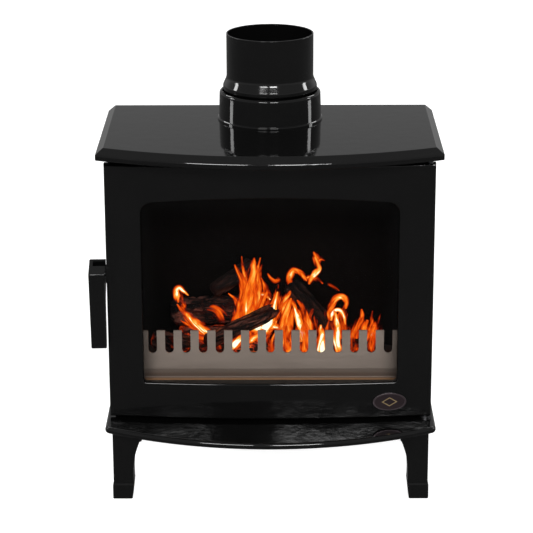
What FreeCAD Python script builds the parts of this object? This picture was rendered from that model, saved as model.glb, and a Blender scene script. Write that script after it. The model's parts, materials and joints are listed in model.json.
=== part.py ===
import FreeCAD, Part
import math
import os

# Wood burning stove in enamelled cast iron.  All sizes in millimetres, angles in degrees.
# Stove frame: +Z up, floor at z = 0, the door faces -Y, the top plate's back edge is at y = 0 and
# the flue stands on the middle plane x = 0.  save() moves every piece so that the origin of the
# finished part is on the floor under the middle of its bounding box.

# Top plate
top_z = 538.2
top_edge_z = 529.4
top_under_z = 521.0
top_half_width = 245.4
top_corner_y = -259.7
top_bow = 52.8
top_bevel = 10.8
top_rim = 12.0
top_back_rim = 5.0
top_skin_under_z = 530.0
blind_hole_z = 533.0

# Base plate, which stands forward as the ash lip
base_z = 124.5
base_under_z = 114.5
base_half_width = 240.8
base_corner_y = -276.6
base_bow = 62.9
base_corner_round = 10.0
base_lip_round = 4.5
base_back_y = -3.0

# Legs
leg_outer_x = 233.6
leg_front_y = -252.0
leg_back_y = -8.0
leg_depth = 34.0
leg_top_width = 50.0
leg_neck_width = 31.2
leg_foot_width = 31.5
leg_sole_width = 29.0
leg_foot_z = 22.5
leg_neck_z = 46.0
leg_pad_reach = 78.0
leg_pad_z = 106.5
leg_bolt_x = 172.0

# Body panels
panel_x = 229.0
panel_wall = 6.0
panel_top_z = 530.0
back_panel_y = -8.0
frame_front_y = -224.5
frame_back_y = -216.0
frame_open_x = 197.0
frame_open_low_z = 138.0
frame_open_high_z = 480.0

# Door
door_half_width = 235.5
door_low_z = 127.8
door_high_z = 511.0
door_corner_y = -241.2
door_bow = 14.2
door_back_y = -229.0
door_edge_round = 2.5

# Window, glass and seals
window_half_width = 184.4
window_low_z = 183.0
window_high_z = 454.0
window_arch = 9.6
window_top_round = 17.0
window_low_round = 5.0
glass_half_width = 197.0
clip_z = (240.0, 410.0)
clip_screw_r = 2.0
clip_screw_y = -237.0
glass_low_z = 170.0
glass_high_z = 477.0
glass_front_y = -234.0
glass_thick = 4.0
glass_seal_thick = 3.0
glass_seal_width = 7.0
rope_x = 213.0
rope_low_z = 135.0
rope_high_z = 500.0
rope_width = 9.0
rope_front_y = -233.8
rope_back_y = -224.8

# Door hinge: a vertical pin at the top and one at the bottom of the right edge
hinge_x = 227.5
hinge_y = -236.0
hinge_pin_r = 4.0
running_gap = 0.06
hinge_depth = 13.0

# Latch: a shaft along X through the left edge of the door
latch_y = -234.5
latch_z = 346.0
latch_shaft_r = 4.0
latch_notch_z = (316.0, 356.0)
latch_notch_x = -219.0
latch_boss_r = 13.6
latch_boss_x = -236.6
handle_inner_x = -237.0
handle_outer_x = -260.4
handle_front_y = -256.0
handle_back_y = -225.0
handle_low_z = 238.0
handle_high_z = 366.6
handle_grip = 13.0
handle_taper = 0.78
handle_slot_x = -255.0
handle_slot_y = (-240.2, -229.8)
hook_x = (-227.0, -221.0)
keeper_y = -219.5
keeper_z = 342.5
keeper_r = 3.0

# Rear flue outlet with its blanking plate
rear_outlet_r = 62.0
rear_outlet_z = 415.0
blanking_r = 78.0
blanking_centre_r = 52.0
blanking_thick = 4.0

# Flue
flue_y = -79.8
collar_foot_r = 77.4
collar_wall_r = 75.6
collar_top_r = 74.4
collar_rim_r = 70.3
collar_bore_r = 66.2
collar_top_z = 581.0
collar_bolt_circle = 65.0
collar_bolt_r = 3.0
flue_hole_r = 60.0
pipe_r = 64.0
pipe_wall = 2.0
pipe_top_z = 666.0
pipe_foot_z = 550.0
pipe_flare_z = 601.5
pipe_flare_r = 69.2
pipe_spigot_r = 65.5

# Fire box
brick_inner_x = 199.0
brick_outer_x = 219.0
brick_low_z = 171.0
brick_high_z = 436.0
side_brick_front_y = -195.0
rear_brick_front_y = -60.0
rear_brick_back_y = -40.0
baffle_thick = 14.0
baffle_front_y = -155.0
grate_low_z = 165.0
grate_high_z = 171.0
ash_pan_x = 172.0
ash_pan_y = (-210.0, -46.0)
ash_pan_low_z = 138.6
ash_pan_high_z = 163.4

grate_open_x = 142.0
grate_open_y = (-190.0, -76.0)
grate_bar_width = 10.0
grate_bar_pitch = 19.0

# Log guard
guard_y = -212.0
guard_half_width = 192.0
guard_high_z = 250.5
guard_fold_z = 191.0
guard_wall = 2.5
guard_slots = 15
guard_slot_pitch = 24.7
guard_slot_width = 12.6
guard_slot_depth = 35.0

# Blank oval badge on the door
badge_x = 174.0
badge_z = 153.0
badge_half_width = 24.8
badge_half_height = 13.5
badge_thick = 2.2

# Air slides, pulled forward under the base plate
slide_thick = 3.0
slide_gap = 0.3
slide_travel = 20.0
primary_x = (-112.0, -32.0)
primary_y = (-190.0, -86.0)
primary_slot_width = 16.0
airwash_x = (32.0, 112.0)
airwash_y = (-44.0, -12.0)
knob_y = (-268.0, -250.0)
knob_r = 7.0
knob_z = 104.0
slide_high_z = base_under_z - slide_gap
slide_low_z = slide_high_z - slide_thick

# Fasteners
rod_r = 4.0
rod_places = [(-214.0, -206.0), (214.0, -206.0), (-214.0, -24.0), (214.0, -24.0)]
bolt_head_r = 7.0
bolt_head_high = 5.0

# Logs as they lie in the fire: name, start, end, radius at the start and at the end
logs = [
    ("log_back", (-152.0, -90.0, 236.0), (-36.0, -86.0, 240.0), 23.0, 22.0),
    ("log_under", (-140.0, -82.0, 200.0), (-20.0, -80.0, 200.0), 12.8, 12.2),
    ("log_leaning", (-88.0, -106.0, 274.0), (-26.0, -84.0, 312.0), 13.5, 12.0),
    ("log_front_left", (-176.0, -140.0, 213.0), (-117.0, -165.0, 208.0), 17.0, 16.0),
    ("log_diagonal", (-97.0, -175.0, 218.0), (12.0, -124.6, 252.8), 13.5, 12.8),
    ("log_right", (102.0, -122.0, 205.0), (28.0, -100.0, 286.0), 16.0, 15.0),
    ("log_front_right", (40.0, -172.0, 203.0), (152.0, -152.0, 205.0), 15.0, 14.0),
]

far = 600.0


def vec(x, y, z):
    """A point or a direction."""
    return FreeCAD.Vector(x, y, z)


def box(x0, x1, y0, y1, z0, z1):
    """A block between two corners."""
    return Part.makeBox(x1 - x0, y1 - y0, z1 - z0, vec(x0, y0, z0))


def rod(radius, start, end):
    """A round bar from one point to another."""
    along = vec(*end) - vec(*start)
    return Part.makeCylinder(radius, along.Length, vec(*start), along)


def hexagon(radius, centre, low_z, high_z):
    """A hexagonal prism standing up, as a bolt head or a nut."""
    points = []
    for k in range(7):
        angle = math.radians(60.0 * k)
        x = centre[0] + radius * math.cos(angle)
        y = centre[1] + radius * math.sin(angle)
        points.append(vec(x, y, low_z))
    return Part.Face(Part.makePolygon(points)).extrude(vec(0, 0, high_z - low_z))


def rounded_outline(corners, to_space):
    """A closed wire through flat corners (a, b, radius), each corner replaced by a tangent arc."""
    count = len(corners)
    ends = []
    for k in range(count):
        a, b, radius = corners[k]
        here = vec(a, b, 0)
        before = vec(corners[k - 1][0], corners[k - 1][1], 0) - here
        after = vec(corners[(k + 1) % count][0], corners[(k + 1) % count][1], 0) - here
        before.normalize()
        after.normalize()
        half = before.getAngle(after) / 2.0
        reach = radius / math.tan(half) if radius > 0 else 0.0
        middle = before + after
        middle.normalize()
        bulge = radius / math.sin(half) - radius if radius > 0 else 0.0
        ends.append((here + before * reach, here + middle * bulge, here + after * reach))
    edges = []
    for k in range(count):
        first, middle, last = [to_space(p.x, p.y) for p in ends[k]]
        following = to_space(ends[(k + 1) % count][0].x, ends[(k + 1) % count][0].y)
        if corners[k][2] > 0:
            edges.append(Part.Arc(first, middle, last).toShape())
        if (following - last).Length > 0.001:
            edges.append(Part.LineSegment(last, following).toShape())
    return Part.Wire(edges)


def on_front(y):
    """Flat coordinates (x, z) placed on an upright plane facing the front."""
    return lambda a, b: vec(a, y, b)


def on_side(x):
    """Flat coordinates (y, z) placed on an upright plane facing the side."""
    return lambda a, b: vec(x, a, b)


def on_floor(z):
    """Flat coordinates (x, y) placed on a level plane."""
    return lambda a, b: vec(a, b, z)


def bowed_outline(half_width, corner_y, bow, back_y, z):
    """A plate's outline: straight back and sides, and a front edge bowed forward."""
    front = Part.Arc(
        vec(-half_width, corner_y, z),
        vec(0, corner_y - bow, z),
        vec(half_width, corner_y, z),
    ).toShape()
    right = Part.LineSegment(vec(half_width, corner_y, z), vec(half_width, back_y, z)).toShape()
    back = Part.LineSegment(vec(half_width, back_y, z), vec(-half_width, back_y, z)).toShape()
    left = Part.LineSegment(vec(-half_width, back_y, z), vec(-half_width, corner_y, z)).toShape()
    return Part.Wire([front, right, back, left])


def inset_bow(half_width, corner_y, bow, inset):
    """Half width, corner and bow of the outline that lies an even inset inside a bowed one."""
    radius = (half_width ** 2 + bow ** 2) / (2.0 * bow)
    centre_y = corner_y - bow + radius
    inner_radius = radius - inset
    inner_half = half_width - inset
    inner_corner = centre_y - math.sqrt(inner_radius ** 2 - inner_half ** 2)
    return inner_half, inner_corner, inner_corner - (centre_y - inner_radius)


def upright(wire, high):
    """The wire's face drawn up by a height."""
    return Part.Face(wire).extrude(vec(0, 0, high))


def edges_where(shape, test):
    """The edges whose middle and end points all pass a test."""
    found = []
    for edge in shape.Edges:
        first, last = edge.ParameterRange
        points = [edge.valueAt(first), edge.valueAt((first + last) / 2.0), edge.valueAt(last)]
        if all(test(p) for p in points):
            found.append(edge)
    return found


def near(a, b):
    """Whether two lengths are the same to within a tenth of a millimetre."""
    return abs(a - b) < 0.1


def front_bow_y(half_width, corner_y, bow, x):
    """Where the bowed front face lies at a given x."""
    radius = (half_width ** 2 + bow ** 2) / (2.0 * bow)
    return corner_y - bow + radius - math.sqrt(radius ** 2 - x ** 2)


# ---------------------------------------------------------------- plates and panels


def make_top_plate():
    """Cast plate with a bevel at the sides and front, a hollow underside and the flue hole."""
    outer = (top_half_width, top_corner_y, top_bow)
    inner = inset_bow(*outer, top_bevel)
    slab = upright(bowed_outline(*outer, 0.0, top_under_z), top_edge_z - top_under_z)
    low = bowed_outline(*outer, 0.0, top_edge_z)
    high = bowed_outline(*inner, 0.0, top_z)
    plate = slab.fuse(Part.makeLoft([low, high], True, True)).removeSplitter()

    def at_nose(p):
        return near(p.z, top_edge_z) and p.y < -0.1

    def at_lower_edge(p):
        return near(p.z, top_under_z)

    def at_upper_edge(p):
        return near(p.z, top_z) and p.y < 0.1

    plate = plate.makeFillet(3.0, edges_where(plate, at_nose))
    plate = plate.makeFillet(2.0, edges_where(plate, at_lower_edge))
    plate = plate.makeFillet(1.6, edges_where(plate, at_upper_edge))
    pocket = inset_bow(*outer, top_rim)
    hollow = upright(
        bowed_outline(*pocket, -top_back_rim, top_under_z - 1.0),
        top_skin_under_z - top_under_z + 1.0,
    )
    plate = plate.cut(hollow)
    boss = rod(9.0, (hinge_x, hinge_y, top_under_z), (hinge_x, hinge_y, top_skin_under_z + 1.0))
    plate = plate.fuse(boss.common(upright(bowed_outline(*outer, 0.0, top_under_z), far)))
    pin_hole = rod(hinge_pin_r, (hinge_x, hinge_y, top_under_z - 1.0), (hinge_x, hinge_y, blind_hole_z))
    plate = plate.cut(pin_hole)
    plate = plate.cut(rod(flue_hole_r, (0, flue_y, top_under_z), (0, flue_y, top_z + 1.0)))
    for x, y in rod_places:
        plate = plate.fuse(rod(8.0, (x, y, top_under_z), (x, y, top_skin_under_z + 1.0)))
        plate = plate.cut(rod(rod_r, (x, y, top_under_z - 1.0), (x, y, blind_hole_z)))
    return plate


def make_base_plate():
    """Cast plate with a rounded lip, air slots, and blind holes for the lower hinge pin and bolts."""
    wire = bowed_outline(base_half_width, base_corner_y, base_bow, base_back_y, base_under_z)
    plate = upright(wire, base_z - base_under_z)

    corners = edges_where(
        plate, lambda p: near(p.y, base_corner_y) and near(abs(p.x), base_half_width)
    )
    plate = plate.makeFillet(base_corner_round, corners)
    for level in (base_z, base_under_z):
        round_edges = edges_where(plate, lambda p: near(p.z, level))
        round_edges = [e for e in round_edges if e.BoundBox.YMin < base_back_y - 1.0]
        plate = plate.makeFillet(base_lip_round, round_edges)
    pin_floor_z = base_under_z + 3.0
    plate = plate.cut(rod(hinge_pin_r, (hinge_x, hinge_y, pin_floor_z), (hinge_x, hinge_y, base_z + 1.0)))
    for x, y in rod_places:
        plate = plate.cut(rod(rod_r, (x, y, base_under_z - 1.0), (x, y, base_z + 1.0)))
    for x, y in leg_bolt_places():
        plate = plate.cut(rod(rod_r, (x, y, base_under_z - 1.0), (x, y, base_z - 2.0)))
    for slot in primary_slots() + [airwash_slot()]:
        plate = plate.cut(box(*slot, base_under_z - 1.0, base_z + 1.0))
    return plate


def make_side_panel(side):
    """One cast side wall with a ledge that carries the grate frame."""
    inner = panel_x - panel_wall
    wall = box(inner, panel_x, frame_back_y, back_panel_y - panel_wall, base_z, panel_top_z)
    ledge = box(inner - 6.0, inner, -200.0, -40.0, grate_low_z - 9.0, grate_low_z)
    panel = wall.fuse(ledge).removeSplitter()
    outer_edges = edges_where(panel, lambda p: near(p.x, panel_x))
    panel = panel.makeFillet(1.0, outer_edges)
    return mirrored(panel).cut(latch_notch()) if side < 0 else panel


def mirrored(shape):
    """The same shape on the other side of the middle plane."""
    return shape.mirror(vec(0, 0, 0), vec(1, 0, 0))


def make_back_panel():
    """Cast back wall with the rear flue outlet."""
    low_y = back_panel_y - panel_wall
    panel = box(-panel_x, panel_x, low_y, back_panel_y, base_z, panel_top_z)
    panel = panel.makeFillet(1.0, edges_where(panel, lambda p: near(p.y, back_panel_y)))
    hole = rod(rear_outlet_r, (0, low_y - 1.0, rear_outlet_z), (0, back_panel_y + 1.0, rear_outlet_z))
    panel = panel.cut(hole)
    for x, z in blanking_bolt_places():
        panel = panel.cut(rod(3.0, (x, low_y - 1.0, z), (x, back_panel_y + 1.0, z)))
    return panel



def blanking_bolt_places():
    """The two bolts of the rear blanking plate, as (x, z)."""
    return [(-70.0, rear_outlet_z), (70.0, rear_outlet_z)]


def make_blanking_plate():
    """Round cover over the rear flue outlet, with a raised centre."""
    disc_y = back_panel_y + blanking_thick
    disc = rod(blanking_r, (0, back_panel_y, rear_outlet_z), (0, disc_y, rear_outlet_z))
    disc = disc.makeFillet(1.2, edges_where(disc, lambda p: near(p.y, disc_y)))
    raised_y = back_panel_y + 6.0
    raised = rod(blanking_centre_r, (0, back_panel_y, rear_outlet_z), (0, raised_y, rear_outlet_z))
    raised = raised.makeFillet(1.5, edges_where(raised, lambda p: near(p.y, raised_y)))
    disc = disc.fuse(raised)
    for x, z in blanking_bolt_places():
        disc = disc.cut(rod(3.0, (x, back_panel_y - 1.0, z), (x, back_panel_y + 9.0, z)))
    return disc


def make_blanking_bolts():
    """Two dome headed screws through the blanking plate into the back panel."""
    screws = []
    head_y = back_panel_y + blanking_thick
    for x, z in blanking_bolt_places():
        shank = rod(3.0, (x, back_panel_y - panel_wall - 2.0, z), (x, head_y, z))
        head = rod(5.0, (x, head_y, z), (x, head_y + 2.8, z))
        head = head.makeFillet(1.3, edges_where(head, lambda p: near(p.y, head_y + 2.8)))
        screws.append(shank.fuse(head))
    return Part.makeCompound(screws)


def make_front_frame():
    """Cast frame that the door closes on, with a notch at the left edge for the latch hook."""
    frame = box(-panel_x, panel_x, frame_front_y, frame_back_y, base_z, panel_top_z)
    opening = rounded_outline(
        [
            (-frame_open_x, frame_open_low_z, 6.0),
            (frame_open_x, frame_open_low_z, 6.0),
            (frame_open_x, frame_open_high_z, 12.0),
            (-frame_open_x, frame_open_high_z, 12.0),
        ],
        on_front(frame_front_y - 1.0),
    )
    frame = frame.cut(Part.Face(opening).extrude(vec(0, frame_back_y - frame_front_y + 2.0, 0)))
    frame = frame.cut(latch_notch())
    frame = frame.cut(rod(keeper_r, (-222.0, keeper_y, keeper_z), (-211.0, keeper_y, keeper_z)))
    return frame


def latch_notch():
    """Gap at the left edge of the frame and side panel through which the latch hook reaches."""
    return box(-panel_x - 1.0, latch_notch_x, frame_front_y - 1.0, frame_back_y + 10.0, *latch_notch_z)


def make_tie_rods():
    """Four long studs that clamp the top plate and the base plate on the panels."""
    rods = [rod(rod_r, (x, y, base_under_z - 7.5), (x, y, blind_hole_z)) for x, y in rod_places]
    return Part.makeCompound(rods)


def make_tie_rod_nuts():
    """A nut under the base plate on each tie rod."""
    nuts = []
    for x, y in rod_places:
        nut = hexagon(bolt_head_r, (x, y), base_under_z - 6.5, base_under_z)
        nuts.append(nut.cut(rod(rod_r, (x, y, base_under_z - 8.0), (x, y, base_under_z + 1.0))))
    return Part.makeCompound(nuts)


# ---------------------------------------------------------------- legs


def leg_front_outline():
    """The leg seen from the front, right-hand leg: straight outside, curved inside, foot block."""
    outer = leg_outer_x
    points = [
        vec(outer - 1.2, 0, 0),
        vec(outer, 0, 1.2),
        vec(outer, 0, leg_foot_z - 1.0),
        vec(outer - 1.2, 0, leg_foot_z + 1.5),
        vec(outer - 1.2, 0, base_under_z),
        vec(outer - leg_top_width, 0, base_under_z),
    ]
    edges = [Part.LineSegment(points[k], points[k + 1]).toShape() for k in range(len(points) - 1)]
    curve = Part.BSplineCurve()
    curve.interpolate(
        [
            points[-1],
            vec(outer - 41.5, 0, 92.0),
            vec(outer - 34.0, 0, 69.0),
            vec(outer - leg_neck_width, 0, leg_neck_z),
            vec(outer - leg_foot_width, 0, leg_foot_z + 1.0),
        ]
    )
    edges.append(curve.toShape())
    sole = vec(outer - leg_sole_width, 0, 1.2)
    edges.append(Part.LineSegment(vec(outer - leg_foot_width, 0, leg_foot_z + 1.0), sole).toShape())
    edges.append(Part.LineSegment(sole, vec(outer - leg_sole_width + 1.2, 0, 0)).toShape())
    edges.append(Part.LineSegment(vec(outer - leg_sole_width + 1.2, 0, 0), points[0]).toShape())
    return Part.Wire(edges)


def leg_side_outline():
    """The leg seen from the side, front leg: straight front face, curved back."""
    front = leg_front_y
    depth = leg_depth
    curve = Part.BSplineCurve()
    top = vec(0, front + depth + 12.0, base_under_z)
    curve.interpolate(
        [
            top,
            vec(0, front + depth + 4.0, 92.0),
            vec(0, front + depth - 2.0, 69.0),
            vec(0, front + depth - 4.5, leg_neck_z),
            vec(0, front + depth - 4.0, leg_foot_z + 1.0),
        ]
    )
    heel = vec(0, front + depth - 6.0, 0)
    toe = vec(0, front, 0)
    instep = vec(0, front, leg_foot_z - 1.0)
    ledge = vec(0, front + 1.8, leg_foot_z + 1.2)
    brow = vec(0, front + 1.8, base_under_z)
    edges = [
        curve.toShape(),
        Part.LineSegment(vec(0, front + depth - 4.0, leg_foot_z + 1.0), heel).toShape(),
        Part.LineSegment(heel, toe).toShape(),
        Part.LineSegment(toe, instep).toShape(),
        Part.LineSegment(instep, ledge).toShape(),
        Part.LineSegment(ledge, brow).toShape(),
        Part.LineSegment(brow, top).toShape(),
    ]
    return Part.Wire(edges)


def leg_bolt_places():
    """The bolt of each leg, as (x, y)."""
    front = leg_front_y + 19.0
    back = leg_back_y - 19.0
    return [(-leg_bolt_x, front), (leg_bolt_x, front), (-leg_bolt_x, back), (leg_bolt_x, back)]


def make_leg(side, at_back):
    """A cast leg with a bolting pad reaching inward under the base plate."""
    seen_front = Part.Face(leg_front_outline()).extrude(vec(0, far, 0))
    seen_front.translate(vec(0, leg_front_y - 10.0, 0))
    seen_side = Part.Face(leg_side_outline()).extrude(vec(far, 0, 0))
    leg = seen_front.common(seen_side)
    pad = box(
        leg_outer_x - leg_pad_reach,
        leg_outer_x - 30.0,
        leg_front_y + 6.0,
        leg_front_y + leg_depth,
        leg_pad_z,
        base_under_z,
    )
    pad_end_x = leg_outer_x - leg_pad_reach
    pad = pad.makeFillet(3.0, edges_where(pad, lambda p: near(p.x, pad_end_x)))
    leg = leg.fuse(pad).removeSplitter()
    bolt_x, bolt_y = leg_bolt_x, leg_front_y + 19.0
    leg = leg.cut(rod(rod_r + 0.5, (bolt_x, bolt_y, leg_pad_z - 1.0), (bolt_x, bolt_y, base_under_z + 1.0)))
    if at_back:
        middle_y = (leg_front_y + leg_back_y) / 2.0
        leg = leg.mirror(vec(0, middle_y, 0), vec(0, 1, 0))
    leg = mirrored(leg) if side < 0 else leg
    for x, y in rod_places:
        leg = leg.cut(rod(9.0, (x, y, base_under_z - 8.0), (x, y, base_under_z + 1.0)))
    return leg


def make_leg_bolts():
    """A hexagon headed bolt up through each leg's pad into the base plate."""
    bolts = []
    for x, y in leg_bolt_places():
        shank = rod(rod_r, (x, y, leg_pad_z), (x, y, base_z - 2.5))
        head = hexagon(bolt_head_r, (x, y), leg_pad_z - bolt_head_high, leg_pad_z)
        bolts.append(shank.fuse(head))
    return Part.makeCompound(bolts)


# ---------------------------------------------------------------- flue


def ring_of(profile):
    """A solid turned about the flue's axis from flat corners (radius, z, rounding)."""
    wire = rounded_outline(profile, lambda a, b: vec(a, flue_y, b))
    return Part.Face(wire).revolve(vec(0, flue_y, 0), vec(0, 0, 1), 360.0)


def make_flue_collar():
    """Cast socket with a thin foot lip, a tapering wall and a rounded rim."""
    return ring_of(
        [
            (flue_hole_r, top_z, 0.0),
            (collar_foot_r, top_z, 0.0),
            (collar_foot_r, top_z + 2.6, 1.2),
            (collar_wall_r, top_z + 3.6, 0.4),
            (collar_top_r, collar_top_z, 3.6),
            (collar_rim_r, collar_top_z, 1.2),
            (collar_rim_r, collar_top_z - 6.0, 2.0),
            (collar_bore_r, collar_top_z - 14.0, 2.0),
            (collar_bore_r, pipe_foot_z, 0.0),
            (flue_hole_r, pipe_foot_z, 0.0),
        ]
    )


def make_collar_bolts():
    """Four hexagon bolts up through the top plate into the collar's foot."""
    bolts = []
    for k in range(4):
        angle = math.radians(45.0 + 90.0 * k)
        x = collar_bolt_circle * math.cos(angle)
        y = flue_y + collar_bolt_circle * math.sin(angle)
        shank = rod(collar_bolt_r, (x, y, top_skin_under_z), (x, y, pipe_foot_z - 2.0))
        bolts.append(shank.fuse(hexagon(5.5, (x, y), top_skin_under_z - 4.0, top_skin_under_z)))
    return Part.makeCompound(bolts)


def drill_for_collar_bolts(shape):
    """The same shape with the collar bolts' holes."""
    for k in range(4):
        angle = math.radians(45.0 + 90.0 * k)
        x = collar_bolt_circle * math.cos(angle)
        y = flue_y + collar_bolt_circle * math.sin(angle)
        shape = shape.cut(rod(collar_bolt_r, (x, y, top_skin_under_z - 1.0), (x, y, pipe_foot_z - 2.0)))
    return shape


def make_flue_pipe():
    """Enamelled steel pipe whose lower end flares out and drops into the collar."""
    outside = [
        (pipe_spigot_r, pipe_foot_z, 0.0),
        (pipe_spigot_r, pipe_flare_z - 21.0, 1.5),
        (pipe_flare_r, pipe_flare_z - 18.0, 2.5),
        (pipe_flare_r, pipe_flare_z - 12.0, 6.0),
        (pipe_r, pipe_flare_z, 14.0),
        (pipe_r, pipe_top_z, 0.5),
    ]
    inside = [
        (pipe_r - pipe_wall, pipe_top_z, 0.5),
        (pipe_r - pipe_wall, pipe_flare_z + 1.0, 10.0),
        (pipe_flare_r - pipe_wall - 0.4, pipe_flare_z - 10.5, 4.0),
        (pipe_flare_r - pipe_wall - 0.4, pipe_flare_z - 18.5, 2.5),
        (pipe_spigot_r - pipe_wall, pipe_flare_z - 22.0, 1.5),
        (pipe_spigot_r - pipe_wall, pipe_foot_z, 0.0),
    ]
    return ring_of(outside + inside)


# ---------------------------------------------------------------- fire box


def make_side_brick(side):
    """Fire brick that lines one side of the fire box."""
    front_y, rear_y = side_brick_front_y, rear_brick_back_y
    brick = box(brick_inner_x, brick_outer_x, front_y, rear_y, brick_low_z, brick_high_z)
    brick = brick.makeChamfer(1.5, brick.Edges)
    return mirrored(brick) if side < 0 else brick


def make_rear_brick():
    """Fire brick that lines the back of the fire box, between the side bricks."""
    reach = brick_inner_x - 0.5
    brick = box(-reach, reach, rear_brick_front_y, rear_brick_back_y, brick_low_z, brick_high_z)
    return brick.makeChamfer(1.5, brick.Edges)


def make_baffle_plate():
    """Throat plate resting on the bricks, which sends the smoke round its front edge."""
    plate = box(
        -brick_outer_x + 1.0,
        brick_outer_x - 1.0,
        baffle_front_y,
        rear_brick_back_y,
        brick_high_z,
        brick_high_z + baffle_thick,
    )
    return plate.makeChamfer(1.5, plate.Edges)



def make_grate_frame():
    """Cast shelf across the fire box with the opening that holds the grate."""
    shelf = box(-222.0, 222.0, -213.0, rear_brick_back_y, grate_low_z, grate_high_z)
    shelf = shelf.cut(
        box(-grate_open_x, grate_open_x, grate_open_y[0], grate_open_y[1], grate_low_z - 1.0, far)
    )
    for x, y in rod_places:
        shelf = shelf.cut(rod(rod_r + 2.0, (x, y, grate_low_z - 1.0), (x, y, grate_high_z + 1.0)))
    return shelf


def make_grate():
    """Cast grate: a rim with bars running from front to back."""
    play = 1.0
    x_reach = grate_open_x - play
    y_low = grate_open_y[0] + play
    y_high = grate_open_y[1] - play
    rim = box(-x_reach, x_reach, y_low, y_high, grate_low_z, grate_high_z)
    rim = rim.cut(box(-x_reach + 8, x_reach - 8, y_low + 8, y_high - 8, grate_low_z - 1.0, far))
    bars = int((2 * x_reach - 16) // grate_bar_pitch)
    grate = rim
    for k in range(bars):
        x = (k - (bars - 1) / 2.0) * grate_bar_pitch
        half = grate_bar_width / 2.0
        grate = grate.fuse(box(x - half, x + half, y_low + 4, y_high - 4, grate_low_z, grate_high_z))
    return grate.removeSplitter()


def make_ash_pan():
    """Folded steel tray under the grate, with a turned-down lip at the front to pull it by."""
    wall = 1.5
    front_y, rear_y = ash_pan_y
    tray = box(-ash_pan_x, ash_pan_x, front_y, rear_y, ash_pan_low_z, ash_pan_high_z)
    tray = tray.makeFillet(4.0, edges_where(tray, lambda p: near(abs(p.x), ash_pan_x)))
    inner_x = ash_pan_x - wall
    floor_z = ash_pan_low_z + wall
    inside = box(-inner_x, inner_x, front_y + wall, rear_y - wall, floor_z, far)
    inside = inside.makeFillet(3.0, edges_where(inside, lambda p: near(p.z, floor_z)))
    return tray.cut(inside)


def make_log_guard():
    """Slotted steel guard: upright wall, a band that leans back, a foot, and ends folded back."""
    wall = guard_wall
    side_profile = [
        (guard_y, guard_high_z, 0.0),
        (guard_y, guard_fold_z, 0.0),
        (guard_y + 4.5, 176.5, 0.8),
        (guard_y - 2.5, 173.5, 0.8),
        (guard_y - 2.5, grate_high_z, 0.0),
        (guard_y + 4.5 + wall, grate_high_z, 0.0),
        (guard_y + 4.5 + wall, 176.5, 0.0),
        (guard_y + wall, guard_fold_z, 0.0),
        (guard_y + wall, guard_high_z, 0.0),
    ]
    straight = guard_half_width - 7.0
    guard = Part.Face(rounded_outline(side_profile, on_side(-straight))).extrude(vec(2 * straight, 0, 0))
    for side in (-1, 1):
        guard = guard.fuse(guard_end(side))
    guard = guard.removeSplitter()
    half = guard_slot_width / 2.0
    low = guard_high_z - guard_slot_depth
    for k in range(guard_slots):
        x = (k - (guard_slots - 1) / 2.0) * guard_slot_pitch
        slot = box(x - half, x + half, guard_y - 9.0, guard_y + 9.0, low + half, guard_high_z + 1.0)
        slot = slot.fuse(rod(half, (x, guard_y - 9.0, low + half), (x, guard_y + 9.0, low + half)))
        guard = guard.cut(slot)
    return guard


def guard_end(side):
    """The folded-back end of the log guard, with a rounded fold."""
    bend = 7.0
    x = guard_half_width - bend
    level = rounded_outline(
        [
            (x, guard_y, 0.0),
            (guard_half_width, guard_y, bend),
            (guard_half_width, guard_y + 15.0, 0.0),
            (guard_half_width - guard_wall, guard_y + 15.0, 0.0),
            (guard_half_width - guard_wall, guard_y + guard_wall, bend - guard_wall),
            (x, guard_y + guard_wall, 0.0),
        ],
        on_floor(grate_high_z),
    )
    end = upright(level, guard_high_z - grate_high_z)
    return mirrored(end) if side < 0 else end


def make_airwash_deflector():
    """Folded steel strip behind the frame's top rail that turns air down over the glass."""
    profile = [
        (frame_back_y, 512.0, 0.0),
        (frame_back_y, 494.0, 0.0),
        (frame_back_y + 2.0, 494.0, 0.0),
        (frame_back_y + 2.0, 509.0, 3.0),
        (frame_back_y + 16.0, 509.0, 3.0),
        (frame_back_y + 20.0, 484.0, 0.0),
        (frame_back_y + 22.0, 484.4, 0.0),
        (frame_back_y + 18.0, 511.0, 4.0),
        (frame_back_y + 1.0, 512.0, 0.0),
    ]
    return Part.Face(rounded_outline(profile, on_side(-196.0))).extrude(vec(392.0, 0, 0))


# ---------------------------------------------------------------- logs


def make_log(start, end, start_r, end_r):
    """A split log as a tapering round billet; its bark is not part of this solid."""
    along = vec(*end) - vec(*start)
    return Part.makeCone(start_r, end_r, along.Length, vec(*start), along)


def make_ember_bed():
    """Low mound of embers and ash lying on the grate."""
    low = grate_high_z + 0.2
    foot = rounded_outline(
        [(-165, -192, 30), (168, -192, 30), (160, -70, 30), (-158, -70, 30)], on_floor(low)
    )
    crown = rounded_outline(
        [(-120, -168, 20), (122, -168, 20), (116, -92, 20), (-112, -92, 20)], on_floor(low + 14.0)
    )
    return Part.makeLoft([foot, crown], True, True)


# ---------------------------------------------------------------- door


def door_front_y(x):
    """The door's front face at a given x."""
    return front_bow_y(door_half_width, door_corner_y, door_bow, x)


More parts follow.
